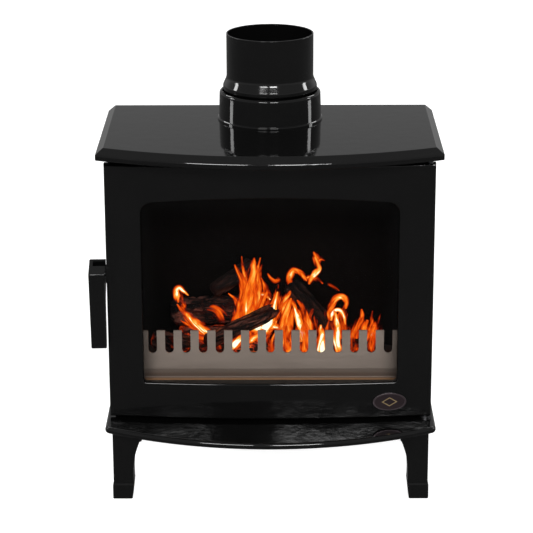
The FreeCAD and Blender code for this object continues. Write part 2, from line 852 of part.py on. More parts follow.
def window_prism():
    """The window's outline, with an arched top, drawn through the whole door."""
    y = door_corner_y - door_bow - 5.0
    half = window_half_width
    left_low = vec(-half, y, window_low_z)
    right_low = vec(half, y, window_low_z)
    right_high = vec(half, y, window_high_z)
    left_high = vec(-half, y, window_high_z)
    crown = vec(0, y, window_high_z + window_arch)
    wire = Part.Wire(
        [
            Part.LineSegment(left_low, right_low).toShape(),
            Part.LineSegment(right_low, right_high).toShape(),
            Part.Arc(right_high, crown, left_high).toShape(),
            Part.LineSegment(left_high, left_low).toShape(),
        ]
    )
    prism = Part.Face(wire).extrude(vec(0, 60.0, 0))
    high = edges_where(prism, lambda p: near(abs(p.x), half) and near(p.z, window_high_z))
    prism = prism.makeFillet(window_top_round, high)
    low = edges_where(prism, lambda p: near(abs(p.x), half) and near(p.z, window_low_z))
    return prism.makeFillet(window_low_round, low)


def ring_block(half_x, low_z, high_z, width, y0, y1, outer_round):
    """A rectangular ring with rounded corners, standing up between two depths."""
    half_w = width / 2.0

    def outline(grow, radius):
        return rounded_outline(
            [
                (-half_x - grow, low_z - grow, radius),
                (half_x + grow, low_z - grow, radius),
                (half_x + grow, high_z + grow, radius),
                (-half_x - grow, high_z + grow, radius),
            ],
            on_front(y0),
        )

    outer = Part.Face(outline(half_w, outer_round)).extrude(vec(0, y1 - y0, 0))
    inner = Part.Face(outline(-half_w, outer_round - width)).extrude(vec(0, y1 - y0, 0))
    return outer.cut(inner)


def make_door():
    """Bowed cast door with an arched window, a ledge for the glass, a rope groove and a latch boss."""
    outline = bowed_outline(door_half_width, door_corner_y, door_bow, door_back_y, door_low_z)
    door = upright(outline, door_high_z - door_low_z)
    door = door.makeFillet(door_edge_round, edges_where(door, lambda p: p.y < door_corner_y + 0.1))
    door = door.cut(window_prism())
    window_edges = edges_where(
        door,
        lambda p: abs(p.x) < window_half_width + 0.1
        and window_low_z - 0.1 < p.z < window_high_z + window_arch + 0.1
        and p.y < door_corner_y - 1.0,
    )
    door = door.makeFillet(2.6, window_edges)
    door = door.cut(glass_recess())
    door = door.cut(back_relief())
    door = door.cut(rope_groove())
    door = door.fuse(latch_boss()).removeSplitter()
    door = door.cut(latch_pocket())
    shaft_r = latch_shaft_r + running_gap
    door = door.cut(rod(shaft_r, (latch_boss_x - 1.0, latch_y, latch_z), (hook_x[0], latch_y, latch_z)))
    pin_r = hinge_pin_r + running_gap
    ends = [(door_low_z - 1.0, door_low_z + hinge_depth), (door_high_z - hinge_depth, door_high_z + 1.0)]
    for low_z, high_z in ends:
        door = door.cut(rod(pin_r, (hinge_x, hinge_y, low_z), (hinge_x, hinge_y, high_z)))
    for x, z in clip_places():
        screw_x = clip_screw_x(x)
        door = door.cut(rod(clip_screw_r, (screw_x, clip_screw_y, z), (screw_x, door_back_y + 1.0, z)))
    return door


def glass_recess():
    """Stepped recess in the door's back for the glass and its seal."""
    reach = 1.5
    return box(
        -glass_half_width - reach,
        glass_half_width + reach,
        glass_front_y - glass_seal_thick,
        door_back_y + 1.0,
        glass_low_z - reach,
        glass_high_z + reach,
    )


def back_relief():
    """The thick middle of the casting is hollowed below and above the glass."""
    low = box(-170.0, 170.0, door_back_y - 8.0, door_back_y + 1.0, 144.0, 160.0)
    return low.makeFillet(3.0, edges_where(low, lambda p: near(p.y, door_back_y - 8.0)))


def rope_groove():
    """Groove in the door's back that holds the rope seal."""
    return ring_block(
        rope_x,
        rope_low_z,
        rope_high_z,
        rope_width,
        rope_front_y,
        door_back_y + 1.0,
        14.0,
    )


def latch_boss():
    """Rounded knuckle at the door's left edge around the latch shaft, kept clear of the frame."""
    boss = rod(latch_boss_r, (latch_boss_x, latch_y, latch_z), (-228.0, latch_y, latch_z))
    boss = boss.makeFillet(1.0, edges_where(boss, lambda p: near(p.x, latch_boss_x)))
    keep = box(-far, 0, door_front_y(door_half_width) - 1.6, door_back_y, 0, far)
    return boss.common(keep)


def latch_pocket():
    """Pocket in the door's back in which the latch hook swings."""
    return box(-228.0, -219.8, latch_y - latch_shaft_r - 0.5, door_back_y + 1.0, 318.0, 352.0)


def make_glass():
    """Flat heat resistant glass pane."""
    pane = box(
        -glass_half_width,
        glass_half_width,
        glass_front_y,
        glass_front_y + glass_thick,
        glass_low_z,
        glass_high_z,
    )
    return pane.makeChamfer(0.5, pane.Edges)


def make_glass_seal():
    """Flat gasket between the door and the glass."""
    half_w = glass_seal_width / 2.0
    return ring_block(
        glass_half_width - half_w,
        glass_low_z + half_w,
        glass_high_z - half_w,
        glass_seal_width,
        glass_front_y - glass_seal_thick,
        glass_front_y,
        12.0,
    )


def make_door_rope():
    """Rope seal set in the door's groove, flattened where it meets the frame."""
    rope = ring_block(rope_x, rope_low_z, rope_high_z, rope_width, rope_front_y, rope_back_y, 14.0)
    rear = edges_where(rope, lambda p: near(p.y, rope_back_y))
    return rope.makeFillet(3.2, rear)


def clip_places():
    """The glass clips, as (x, z) of the glass edge they hold."""
    return [(side * glass_half_width, z) for side in (-1, 1) for z in clip_z]


def clip_screw_x(edge_x):
    """The screw of a clip stands just outside the glass, between it and the rope."""
    return edge_x + 5.5 * (1 if edge_x > 0 else -1)


def make_glass_clips():
    """Four small plates that hold the glass against its seal."""
    clips = []
    for edge_x, z in clip_places():
        side = 1 if edge_x > 0 else -1
        reach = sorted([edge_x - side * 8.0, edge_x + side * 9.5])
        clip = box(reach[0], reach[1], door_back_y, door_back_y + 1.5, z - 9.0, z + 9.0)
        lip = sorted([edge_x - side * 8.0, edge_x - side * 1.0])
        clip = clip.fuse(box(lip[0], lip[1], glass_front_y + glass_thick, door_back_y, z - 9.0, z + 9.0))
        hole_x = clip_screw_x(edge_x)
        clip = clip.cut(rod(2.0, (hole_x, door_back_y - 1.0, z), (hole_x, door_back_y + 3.0, z)))
        clips.append(clip)
    return Part.makeCompound(clips)


def make_clip_screws():
    """A pan headed screw through each glass clip."""
    screws = []
    head_y = door_back_y + 1.5
    for edge_x, z in clip_places():
        x = clip_screw_x(edge_x)
        shank = rod(2.0, (x, -236.0, z), (x, head_y, z))
        head = rod(3.2, (x, head_y, z), (x, head_y + 1.8, z))
        head = head.makeFillet(0.8, edges_where(head, lambda p: near(p.y, head_y + 1.8)))
        screws.append(shank.fuse(head))
    return Part.makeCompound(screws)



def make_badge():
    """Blank oval plate with a raised rim, laid along the door's face."""
    turn = math.degrees(math.atan2(door_front_y(badge_x + 10) - door_front_y(badge_x - 10), 20.0))
    face_y = door_front_y(badge_x)

    def oval(shrink, depth, thick):
        ellipse = Part.Ellipse(vec(0, 0, 0), badge_half_width - shrink, badge_half_height - shrink)
        flat = Part.Face(Part.Wire([ellipse.toShape()]))
        flat.rotate(vec(0, 0, 0), vec(1, 0, 0), 90.0)
        flat.translate(vec(0, depth, 0))
        return flat.extrude(vec(0, thick, 0))

    plate = oval(0.0, -badge_thick, badge_thick)
    front = edges_where(plate, lambda p: near(p.y, -badge_thick))
    plate = plate.makeFillet(0.8, front)
    plate = plate.cut(oval(2.2, -badge_thick - 1.0, 1.6))
    plate.rotate(vec(0, 0, 0), vec(0, 0, 1), turn)
    plate.translate(vec(badge_x, face_y - 0.25, badge_z))
    return plate


# ---------------------------------------------------------------- hinge, latch and handle


def make_hinge_pin(upper):
    """One of the two vertical pins on which the door turns."""
    if upper:
        low_z = door_high_z - hinge_depth + 1.0
        return rod(hinge_pin_r, (hinge_x, hinge_y, low_z), (hinge_x, hinge_y, blind_hole_z))
    return rod(
        hinge_pin_r,
        (hinge_x, hinge_y, base_under_z + 3.0),
        (hinge_x, hinge_y, door_low_z + hinge_depth - 1.0),
    )


def make_hinge_washer():
    """Washer on the lower pin that the door rides on."""
    low = (hinge_x, hinge_y, base_z)
    high = (hinge_x, hinge_y, door_low_z - 0.3)
    return rod(7.5, low, high).cut(rod(hinge_pin_r, low, high))


def make_keeper_pin():
    """Pin in the frame that the latch hook reaches under."""
    return rod(keeper_r, (-228.5, keeper_y, keeper_z), (-211.0, keeper_y, keeper_z))


def make_latch_shaft():
    """Round shaft that joins the handle and the hook through the door's edge."""
    return rod(latch_shaft_r, (-256.0, latch_y, latch_z), (hook_x[0], latch_y, latch_z))


def make_latch_hook():
    """Flat hook welded to the inner end of the shaft; its arm reaches back under the keeper pin."""
    arm = [
        (2.0, 3.2, 0.0),
        (8.5, -5.0, 2.0),
        (16.5, -9.6, 1.5),
        (20.5, -7.2, 0.8),
        (24.5, -7.2, 1.2),
        (24.5, -15.0, 3.0),
        (15.5, -18.8, 4.0),
        (-2.6, -3.0, 0.0),
    ]
    profile = [(latch_y + a, latch_z + b, radius) for a, b, radius in arm]
    thick = hook_x[1] - hook_x[0]
    hook = Part.Face(rounded_outline(profile, on_side(hook_x[0]))).extrude(vec(thick, 0, 0))
    hub = rod(latch_shaft_r, (hook_x[0], latch_y, latch_z), (hook_x[1], latch_y, latch_z))
    return hook.fuse(hub).removeSplitter()


def make_door_handle():
    """Cast lever: a deep head around the shaft with a slot in its top, and a slimmer grip below."""
    side_profile = [
        (handle_front_y, 351.8, 2.5),
        (handle_front_y, handle_low_z, 3.0),
        (handle_front_y + handle_grip, handle_low_z, 3.0),
        (handle_front_y + handle_grip + 2.5, 312.0, 22.0),
        (handle_back_y, 332.0, 6.0),
        (handle_back_y, handle_high_z, 2.0),
    ]
    lever = Part.Face(rounded_outline(side_profile, on_side(handle_outer_x)))
    lever = lever.extrude(vec(2.0 * (handle_inner_x - handle_outer_x), 0, 0))

    def on_skin_edge(p):
        return near(p.x, handle_outer_x)

    lever = lever.makeFillet(1.8, edges_where(lever, on_skin_edge))
    lever.rotate(vec(handle_outer_x, latch_y, latch_z), vec(0, 1, 0), -handle_taper)
    handle = lever.common(box(-far, handle_inner_x, -far, far, 0.0, far))
    slot_floor = latch_z + latch_shaft_r + 3.0
    handle = handle.cut(box(handle_slot_x, handle_inner_x + 1.0, *handle_slot_y, slot_floor, far))
    shaft_hole = rod(latch_shaft_r, (handle_slot_x - 1.0, latch_y, latch_z), (-200.0, latch_y, latch_z))
    return handle.cut(shaft_hole)


# ---------------------------------------------------------------- air slides


def primary_slots():
    """Air slots in the base plate under the grate, as (x0, x1, y0, y1)."""
    x0, x1 = primary_x
    slots = []
    for k in range(2):
        y0 = primary_y[0] + 12.0 + 2.0 * slide_travel * k
        slots.append((x0 + 12.0, x1 - 12.0, y0, y0 + primary_slot_width))
    return slots


def airwash_slot():
    """Air slot in the base plate behind the rear fire brick."""
    return (airwash_x[0] + 12.0, airwash_x[1] - 12.0, -36.0, -26.0)


def make_slide(x_range, y_range, slots):
    """Gate plate with a pull bar that ends in a turned-down tab for the knob."""
    middle = (x_range[0] + x_range[1]) / 2.0
    gate = box(x_range[0], x_range[1], y_range[0], y_range[1], slide_low_z, slide_high_z)
    bar = box(middle - 7.0, middle + 7.0, knob_y[1], y_range[0], slide_low_z, slide_high_z)
    tab = box(middle - 7.0, middle + 7.0, knob_y[1], knob_y[1] + slide_thick, 97.0, slide_high_z)
    gate = gate.fuse(bar).fuse(tab).removeSplitter()
    for x0, x1, y0, y1 in slots:
        low_z, high_z = slide_low_z - 1.0, slide_high_z + 1.0
        gate = gate.cut(box(x0, x1, y0 + slide_travel, y1 + slide_travel, low_z, high_z))
    return gate.cut(rod(2.5, (middle, knob_y[1] - 1.0, knob_z), (middle, knob_y[1] + 4.0, knob_z)))


def make_slide_knob(x_range):
    """Turned knob with a waist and a stud through the tab."""
    middle = (x_range[0] + x_range[1]) / 2.0
    profile = [
        (0.0, 0.0, 0.0),
        (knob_r, 0.0, 2.0),
        (knob_r, 9.0, 2.0),
        (4.2, 14.0, 2.0),
        (5.0, 18.0, 0.0),
        (2.5, 18.0, 0.0),
        (2.5, 23.0, 0.0),
        (0.0, 23.0, 0.0),
    ]
    face = Part.Face(rounded_outline(profile, lambda a, b: vec(middle + a, knob_y[0] + b, knob_z)))
    return face.revolve(vec(middle, 0, knob_z), vec(0, 1, 0), 360.0)


def make_slide_guides():
    """Folded strips under the base plate that carry both slides."""
    guides = []
    spans = [(primary_x, (-186.0, -110.0)), (airwash_x, (-62.0, -14.0))]
    lip_high = slide_low_z - slide_gap
    for (x0, x1), (y0, y1) in spans:
        for edge, side in ((x0, -1), (x1, 1)):
            wall = sorted([edge + side * slide_gap * 2, edge + side * (slide_gap * 2 + 2.0)])
            lip = sorted([edge - side * 5.0, wall[1] if side > 0 else wall[0]])
            guide = box(wall[0], wall[1], y0, y1, lip_high - 2.0, base_under_z)
            ledge = box(lip[0], lip[1], y0, y1, lip_high - 2.0, lip_high)
            guides.append(guide.fuse(ledge).removeSplitter())
    return Part.makeCompound(guides)


# ---------------------------------------------------------------- the whole stove

lowest = (handle_outer_x, base_corner_y - base_bow)
highest = (top_half_width, 0.0)
shift = vec(-(lowest[0] + highest[0]) / 2.0, -(lowest[1] + highest[1]) / 2.0, 0)


def save(node, shape):
    """Writes one piece, moved so that the origin lies under the middle of the stove."""
    placed = shape.copy()
    placed.translate(shift)
    if not placed.isValid():
        print("not valid:", node)
    print(node, "volume", round(placed.Volume), "solids", len(placed.Solids))
    placed.exportStep("parts/" + node + ".step")


def build():
    """Makes every piece and writes it as its own node."""
    os.makedirs("parts", exist_ok=True)
    save("base_plate", make_base_plate())
    save("leg_front_left", make_leg(-1, False))
    save("leg_front_right", make_leg(1, False))
    save("leg_back_left", make_leg(-1, True))
    save("leg_back_right", make_leg(1, True))
    save("leg_bolts", make_leg_bolts())
    save("side_panel_left", make_side_panel(-1))
    save("side_panel_right", make_side_panel(1))
    save("back_panel", make_back_panel())
    save("rear_blanking_plate", make_blanking_plate())
    save("blanking_plate_bolts", make_blanking_bolts())
    save("front_frame", make_front_frame())
    save("top_plate", drill_for_collar_bolts(make_top_plate()))
    save("tie_rods", make_tie_rods())
    save("tie_rod_nuts", make_tie_rod_nuts())
    save("flue_collar", drill_for_collar_bolts(make_flue_collar()))
    save("collar_bolts", make_collar_bolts())
    save("flue_pipe", make_flue_pipe())
    save("fire_brick_left", make_side_brick(-1))
    save("fire_brick_right", make_side_brick(1))
    save("fire_brick_rear", make_rear_brick())
    save("baffle_plate", make_baffle_plate())
    save("grate_frame", make_grate_frame())
    save("grate", make_grate())
    save("ash_pan", make_ash_pan())
    save("log_guard", make_log_guard())
    save("airwash_deflector", make_airwash_deflector())
    save("ember_bed", make_ember_bed())
    for name, start, end, start_r, end_r in logs:
        save(name, make_log(start, end, start_r, end_r))
    save("slide_guides", make_slide_guides())
    save("primary_air_slide", make_slide(primary_x, primary_y, primary_slots()))
    save("primary_air_knob", make_slide_knob(primary_x))
    save("airwash_slide", make_slide(airwash_x, airwash_y, []))
    save("airwash_knob", make_slide_knob(airwash_x))
    save("hinge_pin_upper", make_hinge_pin(True))
    save("hinge_pin_lower", make_hinge_pin(False))
    save("hinge_washer", make_hinge_washer())
    save("latch_keeper_pin", make_keeper_pin())
    save("door", make_door())
    save("door_glass", make_glass())
    save("glass_seal", make_glass_seal())
    save("glass_clips", make_glass_clips())
    save("glass_clip_screws", make_clip_screws())
    save("door_rope_seal", make_door_rope())
    save("badge", make_badge())
    save("door_handle", make_door_handle())
    save("latch_shaft", make_latch_shaft())
    save("latch_hook", make_latch_hook())


build()
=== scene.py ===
import json
import math
import random

import bmesh
import bpy
import numpy as np
from mathutils import Matrix, Vector, noise


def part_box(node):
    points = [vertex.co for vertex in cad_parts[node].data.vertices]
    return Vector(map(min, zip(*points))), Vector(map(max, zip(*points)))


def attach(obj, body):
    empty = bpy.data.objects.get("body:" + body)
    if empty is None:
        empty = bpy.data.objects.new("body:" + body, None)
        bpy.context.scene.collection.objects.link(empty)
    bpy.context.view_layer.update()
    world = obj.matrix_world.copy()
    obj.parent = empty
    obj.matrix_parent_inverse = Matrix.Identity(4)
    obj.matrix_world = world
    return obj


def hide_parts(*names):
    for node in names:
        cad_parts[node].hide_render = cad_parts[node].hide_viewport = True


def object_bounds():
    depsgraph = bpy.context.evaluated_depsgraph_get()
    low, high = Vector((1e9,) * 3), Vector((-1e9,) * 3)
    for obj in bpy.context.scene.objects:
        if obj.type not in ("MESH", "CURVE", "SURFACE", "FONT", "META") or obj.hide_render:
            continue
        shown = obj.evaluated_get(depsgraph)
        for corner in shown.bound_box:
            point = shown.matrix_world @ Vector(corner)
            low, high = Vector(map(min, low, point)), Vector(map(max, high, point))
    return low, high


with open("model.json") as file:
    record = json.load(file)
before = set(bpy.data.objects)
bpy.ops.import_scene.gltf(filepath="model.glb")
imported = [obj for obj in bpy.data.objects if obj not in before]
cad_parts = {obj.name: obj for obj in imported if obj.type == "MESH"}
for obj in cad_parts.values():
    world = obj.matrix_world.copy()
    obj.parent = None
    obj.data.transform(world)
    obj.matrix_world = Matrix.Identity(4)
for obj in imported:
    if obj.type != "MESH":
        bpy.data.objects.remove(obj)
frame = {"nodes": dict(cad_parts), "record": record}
cad_low, cad_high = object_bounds()
nodes = frame["nodes"]

MM = 0.001

top_low, top_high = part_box("top_plate")
middle_x = (top_low.x + top_high.x) / 2
back_y = top_high.y


# ------------------------------------------------------------------ shader node helpers


class Graph:
    """A material's or world's node tree, with short calls that make its nodes and link their inputs."""

    def __init__(self, tree):
        self.tree = tree
        self.nodes = tree.nodes
        self.links = tree.links

    def put(self, socket, value):
        """Links an output to a socket, or sets the socket's own value."""
        if isinstance(value, bpy.types.NodeSocket):
            self.links.new(value, socket)
        elif isinstance(value, (tuple, list)) and len(value) == 3 and socket.type == "RGBA":
            socket.default_value = (*value, 1.0)
        else:
            socket.default_value = value

    def add(self, kind, inputs=(), **settings):
        """A node of that kind, with settings on the node and (socket, value) inputs."""
        made = self.nodes.new(kind)
        for key, value in settings.items():
            setattr(made, key, value)
        for socket, value in dict(inputs).items():
            self.put(made.inputs[socket], value)
        return made

    def math(self, operation, a, b=0.0, c=0.0):
        return self.add("ShaderNodeMath", {0: a, 1: b, 2: c}, operation=operation).outputs[0]

    def spread(self, value, low, high, to_low=0.0, to_high=1.0):
        """Maps low..high to another range, clamped and smooth."""
        ends = {"Value": value, "From Min": low, "From Max": high, "To Min": to_low, "To Max": to_high}
        return self.add("ShaderNodeMapRange", ends, interpolation_type="SMOOTHSTEP").outputs[0]

    def mix(self, factor, a, b):
        made = self.add("ShaderNodeMix", data_type="RGBA")
        self.put(made.inputs[0], factor)
        self.put(made.inputs[6], a)
        self.put(made.inputs[7], b)
        return made.outputs[2]

    def ramp(self, value, stops):
        """A colour ramp from (place, colour) stops."""
        made = self.add("ShaderNodeValToRGB", {"Fac": value})
        elements = made.color_ramp.elements
        while len(elements) < len(stops):
            elements.new(0.5)
        for element, (place, colour) in zip(elements, stops):
            element.position = place
            element.color = (*colour, 1.0)
        return made.outputs[0]

    def object_place(self, stretch=(1.0, 1.0, 1.0)):
        """Object coordinates in metres, scaled along each axis."""
        place = self.add("ShaderNodeTexCoord").outputs["Object"]
        return self.add("ShaderNodeVectorMath", {0: place, 1: stretch}, operation="MULTIPLY").outputs[0]

    def noise(self, place, scale, detail=2.0, rough=0.5, warp=0.0):
        inputs = {"Vector": place, "Scale": scale, "Detail": detail, "Roughness": rough, "Distortion": warp}
        return self.add("ShaderNodeTexNoise", inputs).outputs["Fac"]

    def bump(self, height, distance, under=None):
        made = self.add("ShaderNodeBump", {"Height": height, "Distance": distance, "Strength": 1.0})
        if under is not None:
            self.links.new(under, made.inputs["Normal"])
        return made.outputs[0]


def new_material(name):
    """An empty material as (material, graph, its Principled shader)."""
    material = bpy.data.materials.new(name)
    material.use_nodes = True
    graph = Graph(material.node_tree)
    graph.nodes.clear()
    shader = graph.add("ShaderNodeBsdfPrincipled")
    output = graph.add("ShaderNodeOutputMaterial")
    graph.links.new(shader.outputs[0], output.inputs["Surface"])
    return material, graph, shader


def set_inputs(graph, shader, **values):
    """Sets or links a shader's sockets; an underscore stands for a space in a socket's name."""
    for name, value in values.items():
        graph.put(shader.inputs[name.replace("_", " ")], value)


# ------------------------------------------------------------------ materials


def window_reveal(graph, place):
    """1 between the sides of the door's window and in its lower half, at any depth, and 0 elsewhere.

    It dulls the sill and the lower sides as smoke does, and the same rectangle of the back panel too.
    """
    low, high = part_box("door_glass")
    parts = graph.add("ShaderNodeSeparateXYZ", {0: place})
    across = graph.math("ABSOLUTE", graph.math("SUBTRACT", parts.outputs["X"], (low.x + high.x) / 2))
    lap = 12.2 * MM  # how far the door covers the glass
    inside_x = graph.math("LESS_THAN", across, (high.x - low.x) / 2 - lap)
    above_sill = graph.math("GREATER_THAN", parts.outputs["Z"], low.z + lap)
    lower_half = graph.math("LESS_THAN", parts.outputs["Z"], (low.z + high.z) / 2)
    return graph.math("MULTIPLY", inside_x, graph.math("MULTIPLY", above_sill, lower_half))


def enamel(name, tone, gloss, peel):
    """Vitreous enamel: deep black glass over cast iron, with a faint orange peel and hazy patches."""
    material, graph, shader = new_material(name)
    place = graph.object_place()
    patches = graph.noise(place, 14.0, 3.0, 0.6)
    grain = graph.noise(place, 900.0, 2.0, 0.6)
    dark = (tone * 0.7, tone * 0.7, tone * 0.75)
    light = (tone * 1.35, tone * 1.33, tone * 1.3)
    colour = graph.mix(patches, dark, light)
    haze = graph.spread(patches, 0.3, 0.75, gloss * 0.75, gloss * 1.3)
    speck = graph.spread(grain, 0.66, 0.8, 0.0, 0.05)
    slow = graph.bump(graph.noise(place, 60.0, 1.0), 0.08 * MM * peel)
    fine = graph.bump(graph.noise(place, 330.0, 2.0, 0.55), 0.02 * MM * peel, under=slow)
    reveal = window_reveal(graph, place)
    rough = graph.math("MULTIPLY_ADD", reveal, 0.3, graph.math("ADD", haze, speck))
    set_inputs(
        graph, shader,
        Base_Color=colour, Roughness=rough, IOR=1.5, Normal=fine,
        Specular_IOR_Level=graph.math("MULTIPLY_ADD", reveal, -0.42, 0.5),
    )
    return material


def bare_iron(name, tone, rust):
    """Grey cast iron from the sand mould: grainy, dull, with a little heat rust."""
    material, graph, shader = new_material(name)
    place = graph.object_place()
    grains = graph.noise(place, 420.0, 4.0, 0.65)
    stains = graph.spread(graph.noise(place, 26.0, 5.0, 0.6), 0.52, 0.72)
    dark = (tone * 0.6, tone * 0.6, tone * 0.62)
    light = (tone * 1.4, tone * 1.38, tone * 1.35)
    colour = graph.mix(grains, dark, light)
    rusty = graph.mix(graph.math("MULTIPLY", stains, rust), colour, (0.09, 0.035, 0.014))
    set_inputs(
        graph, shader,
        Base_Color=rusty, Metallic=0.35, Roughness=graph.spread(grains, 0.2, 0.8, 0.48, 0.75),
        Normal=graph.bump(grains, 0.16 * MM),
    )
    return material


def turned_steel(name, tone, rough, streaks):
    """Turned steel: fine drawn lines and a few dull marks."""
    material, graph, shader = new_material(name)
    lines = graph.noise(graph.object_place(streaks), 260.0, 3.0, 0.6)
    marks = graph.noise(graph.object_place(), 60.0, 4.0, 0.6)
    colour = graph.mix(marks, tuple(c * 0.72 for c in tone), tuple(min(1.0, c * 1.15) for c in tone))
    set_inputs(
        graph, shader,
        Base_Color=colour, Metallic=1.0,
        Roughness=graph.spread(lines, 0.25, 0.75, rough * 0.75, rough * 1.3),
        Normal=graph.bump(lines, 0.015 * MM),
    )
    return material


def sheet_steel():
    """Folded sheet with dull black heat paint, rubbed thin and dusted with ash in patches."""
    material, graph, shader = new_material("sheet_steel")
    place = graph.object_place()
    rubbed = graph.spread(graph.noise(place, 34.0, 5.0, 0.62), 0.5, 0.75)
    grain = graph.noise(place, 700.0, 2.0)
    colour = graph.mix(rubbed, (0.012, 0.012, 0.012), (0.075, 0.07, 0.064))
    set_inputs(
        graph, shader,
        Base_Color=colour, Metallic=0.3, Roughness=graph.spread(grain, 0.2, 0.8, 0.42, 0.66),
        Normal=graph.bump(grain, 0.04 * MM),
    )
    return material


def guard_steel():
    """Satin steel fence of the fire bed: warm grey, drawn along its length, darker in a band above its
    foot, with a painted orange glow of the fire along its lowest strip.
    """
    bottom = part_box("log_guard")[0].z
    material, graph, shader = new_material("guard_steel")
    place = graph.object_place()
    height = graph.add("ShaderNodeSeparateXYZ", {0: place}).outputs["Z"]
    lines = graph.noise(graph.object_place((1.0, 30.0, 60.0)), 9.0, 5.0, 0.7)
    clouds = graph.noise(graph.object_place((1.0, 1.0, 2.6)), 11.0, 3.0, 0.55)
    plain = graph.mix(clouds, (0.270, 0.215, 0.180), (0.385, 0.318, 0.270))
    foot = graph.spread(height, bottom + 9 * MM, bottom + 16 * MM, 1.0, 0.0)
    shaded = graph.mix(foot, plain, (0.19, 0.155, 0.135))
    # Painted glow: the fire's orange light on the guard's lowest strip.
    toe = graph.spread(height, bottom + 3 * MM, bottom + 6 * MM, 1.0, 0.0)
    fire_glow_painted = graph.mix(toe, shaded, (0.42, 0.235, 0.115))
    set_inputs(
        graph, shader,
        Base_Color=fire_glow_painted, Metallic=0.55, Roughness=graph.spread(lines, 0.2, 0.8, 0.40, 0.56),
        Normal=graph.bump(lines, 0.02 * MM, under=graph.bump(clouds, 1.2 * MM)),
    )
    return material


def fire_glass():
    """Ceramic glass: clear, faintly grey, with a light film of soot near its edges."""
    low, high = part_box("door_glass")
    material, graph, shader = new_material("fire_glass")
    place = graph.add("ShaderNodeSeparateXYZ", {0: graph.object_place()})
    across = graph.math("ABSOLUTE", graph.math("SUBTRACT", place.outputs["X"], (low.x + high.x) / 2))
    side = graph.spread(across, (high.x - low.x) * 0.40, (high.x - low.x) * 0.5)
    upper = graph.spread(place.outputs["Z"], high.z - 60 * MM, high.z)
    cloud = graph.noise(graph.object_place(), 30.0, 5.0, 0.65)
    film = graph.math("MULTIPLY", graph.math("MAXIMUM", side, upper), cloud)
    set_inputs(
        graph, shader,
        Base_Color=(0.003, 0.003, 0.003), IOR=1.5, Specular_IOR_Level=0.5,
        Roughness=graph.spread(cloud, 0.3, 0.8, 0.02, 0.06),
        Alpha=graph.math("MULTIPLY_ADD", film, 0.35, 0.07),
    )
    return material


def sooted_brick():
    """Vermiculite board black with soot, with pits and paler chipped specks."""
    material, graph, shader = new_material("sooted_brick")
    place = graph.object_place()
    pits = graph.noise(place, 240.0, 4.0, 0.7)
    soot = graph.noise(place, 12.0, 4.0, 0.6)
    pale = graph.spread(pits, 0.66, 0.76, 0.0, 0.5)
    black = graph.mix(soot, (0.0008, 0.0007, 0.0007), (0.003, 0.0026, 0.0023))
    set_inputs(
        graph, shader,
        Base_Color=graph.mix(pale, black, (0.009, 0.008, 0.007)), Roughness=0.95, Specular_IOR_Level=0.04,
        Normal=graph.bump(pits, 0.7 * MM),
    )
    return material


def seal_rope():
    """Braided glass-fibre rope, grey-black, fuzzy and pressed."""
    material, graph, shader = new_material("seal_rope")
    place = graph.object_place()
    fibres = graph.noise(place, 900.0, 3.0, 0.7)
    dirt = graph.noise(place, 40.0, 3.0, 0.6)
    colour = graph.mix(fibres, (0.012, 0.012, 0.0125), (0.060, 0.059, 0.058))
    set_inputs(
        graph, shader,
        Base_Color=graph.mix(graph.math("MULTIPLY", dirt, 0.5), colour, (0.010, 0.009, 0.008)),
        Roughness=0.95, Sheen_Weight=0.3, Sheen_Roughness=0.5,
        Normal=graph.bump(fibres, 0.12 * MM),
    )
    return material


def from_middle(graph, value, low, high):
    """-1 at low, 0 halfway and 1 at high."""
    return graph.math("DIVIDE", graph.math("SUBTRACT", value, (low + high) / 2), (high - low) / 2)


def badge_metal():
    """Cast oval: a dark plum, sandy field with a thin gold lozenge, and a brighter worn rim."""
    low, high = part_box("badge")
    material, graph, shader = new_material("badge_metal")
    place = graph.object_place()
    parts = graph.add("ShaderNodeSeparateXYZ", {0: place})
    u = from_middle(graph, parts.outputs["X"], low.x, high.x)
    v = from_middle(graph, parts.outputs["Z"], low.z, high.z)
    u_squared = graph.math("MULTIPLY", u, u)
    reach = graph.math("SQRT", graph.math("ADD", u_squared, graph.math("MULTIPLY", v, v)))
    rim = graph.spread(reach, 0.86, 0.92)
    sand = graph.noise(place, 1500.0, 2.0, 0.6)
    beside = graph.math("ABSOLUTE", u)
    above = graph.math("MULTIPLY", graph.math("ABSOLUTE", v), 0.9)
    lozenge = graph.math("SUBTRACT", graph.math("ADD", beside, above), 0.42)
    motif = graph.spread(graph.math("ABSOLUTE", lozenge), 0.03, 0.07, 1.0, 0.0)
    field = graph.mix(sand, (0.016, 0.010, 0.012), (0.040, 0.026, 0.030))
    worn = graph.mix(rim, field, (0.075, 0.058, 0.064))
    set_inputs(
        graph, shader,
        Base_Color=graph.mix(motif, worn, (0.34, 0.25, 0.13)), Metallic=0.7,
        Roughness=graph.spread(rim, 0.0, 1.0, 0.5, 0.3), Normal=graph.bump(sand, 0.05 * MM),
    )
    return material


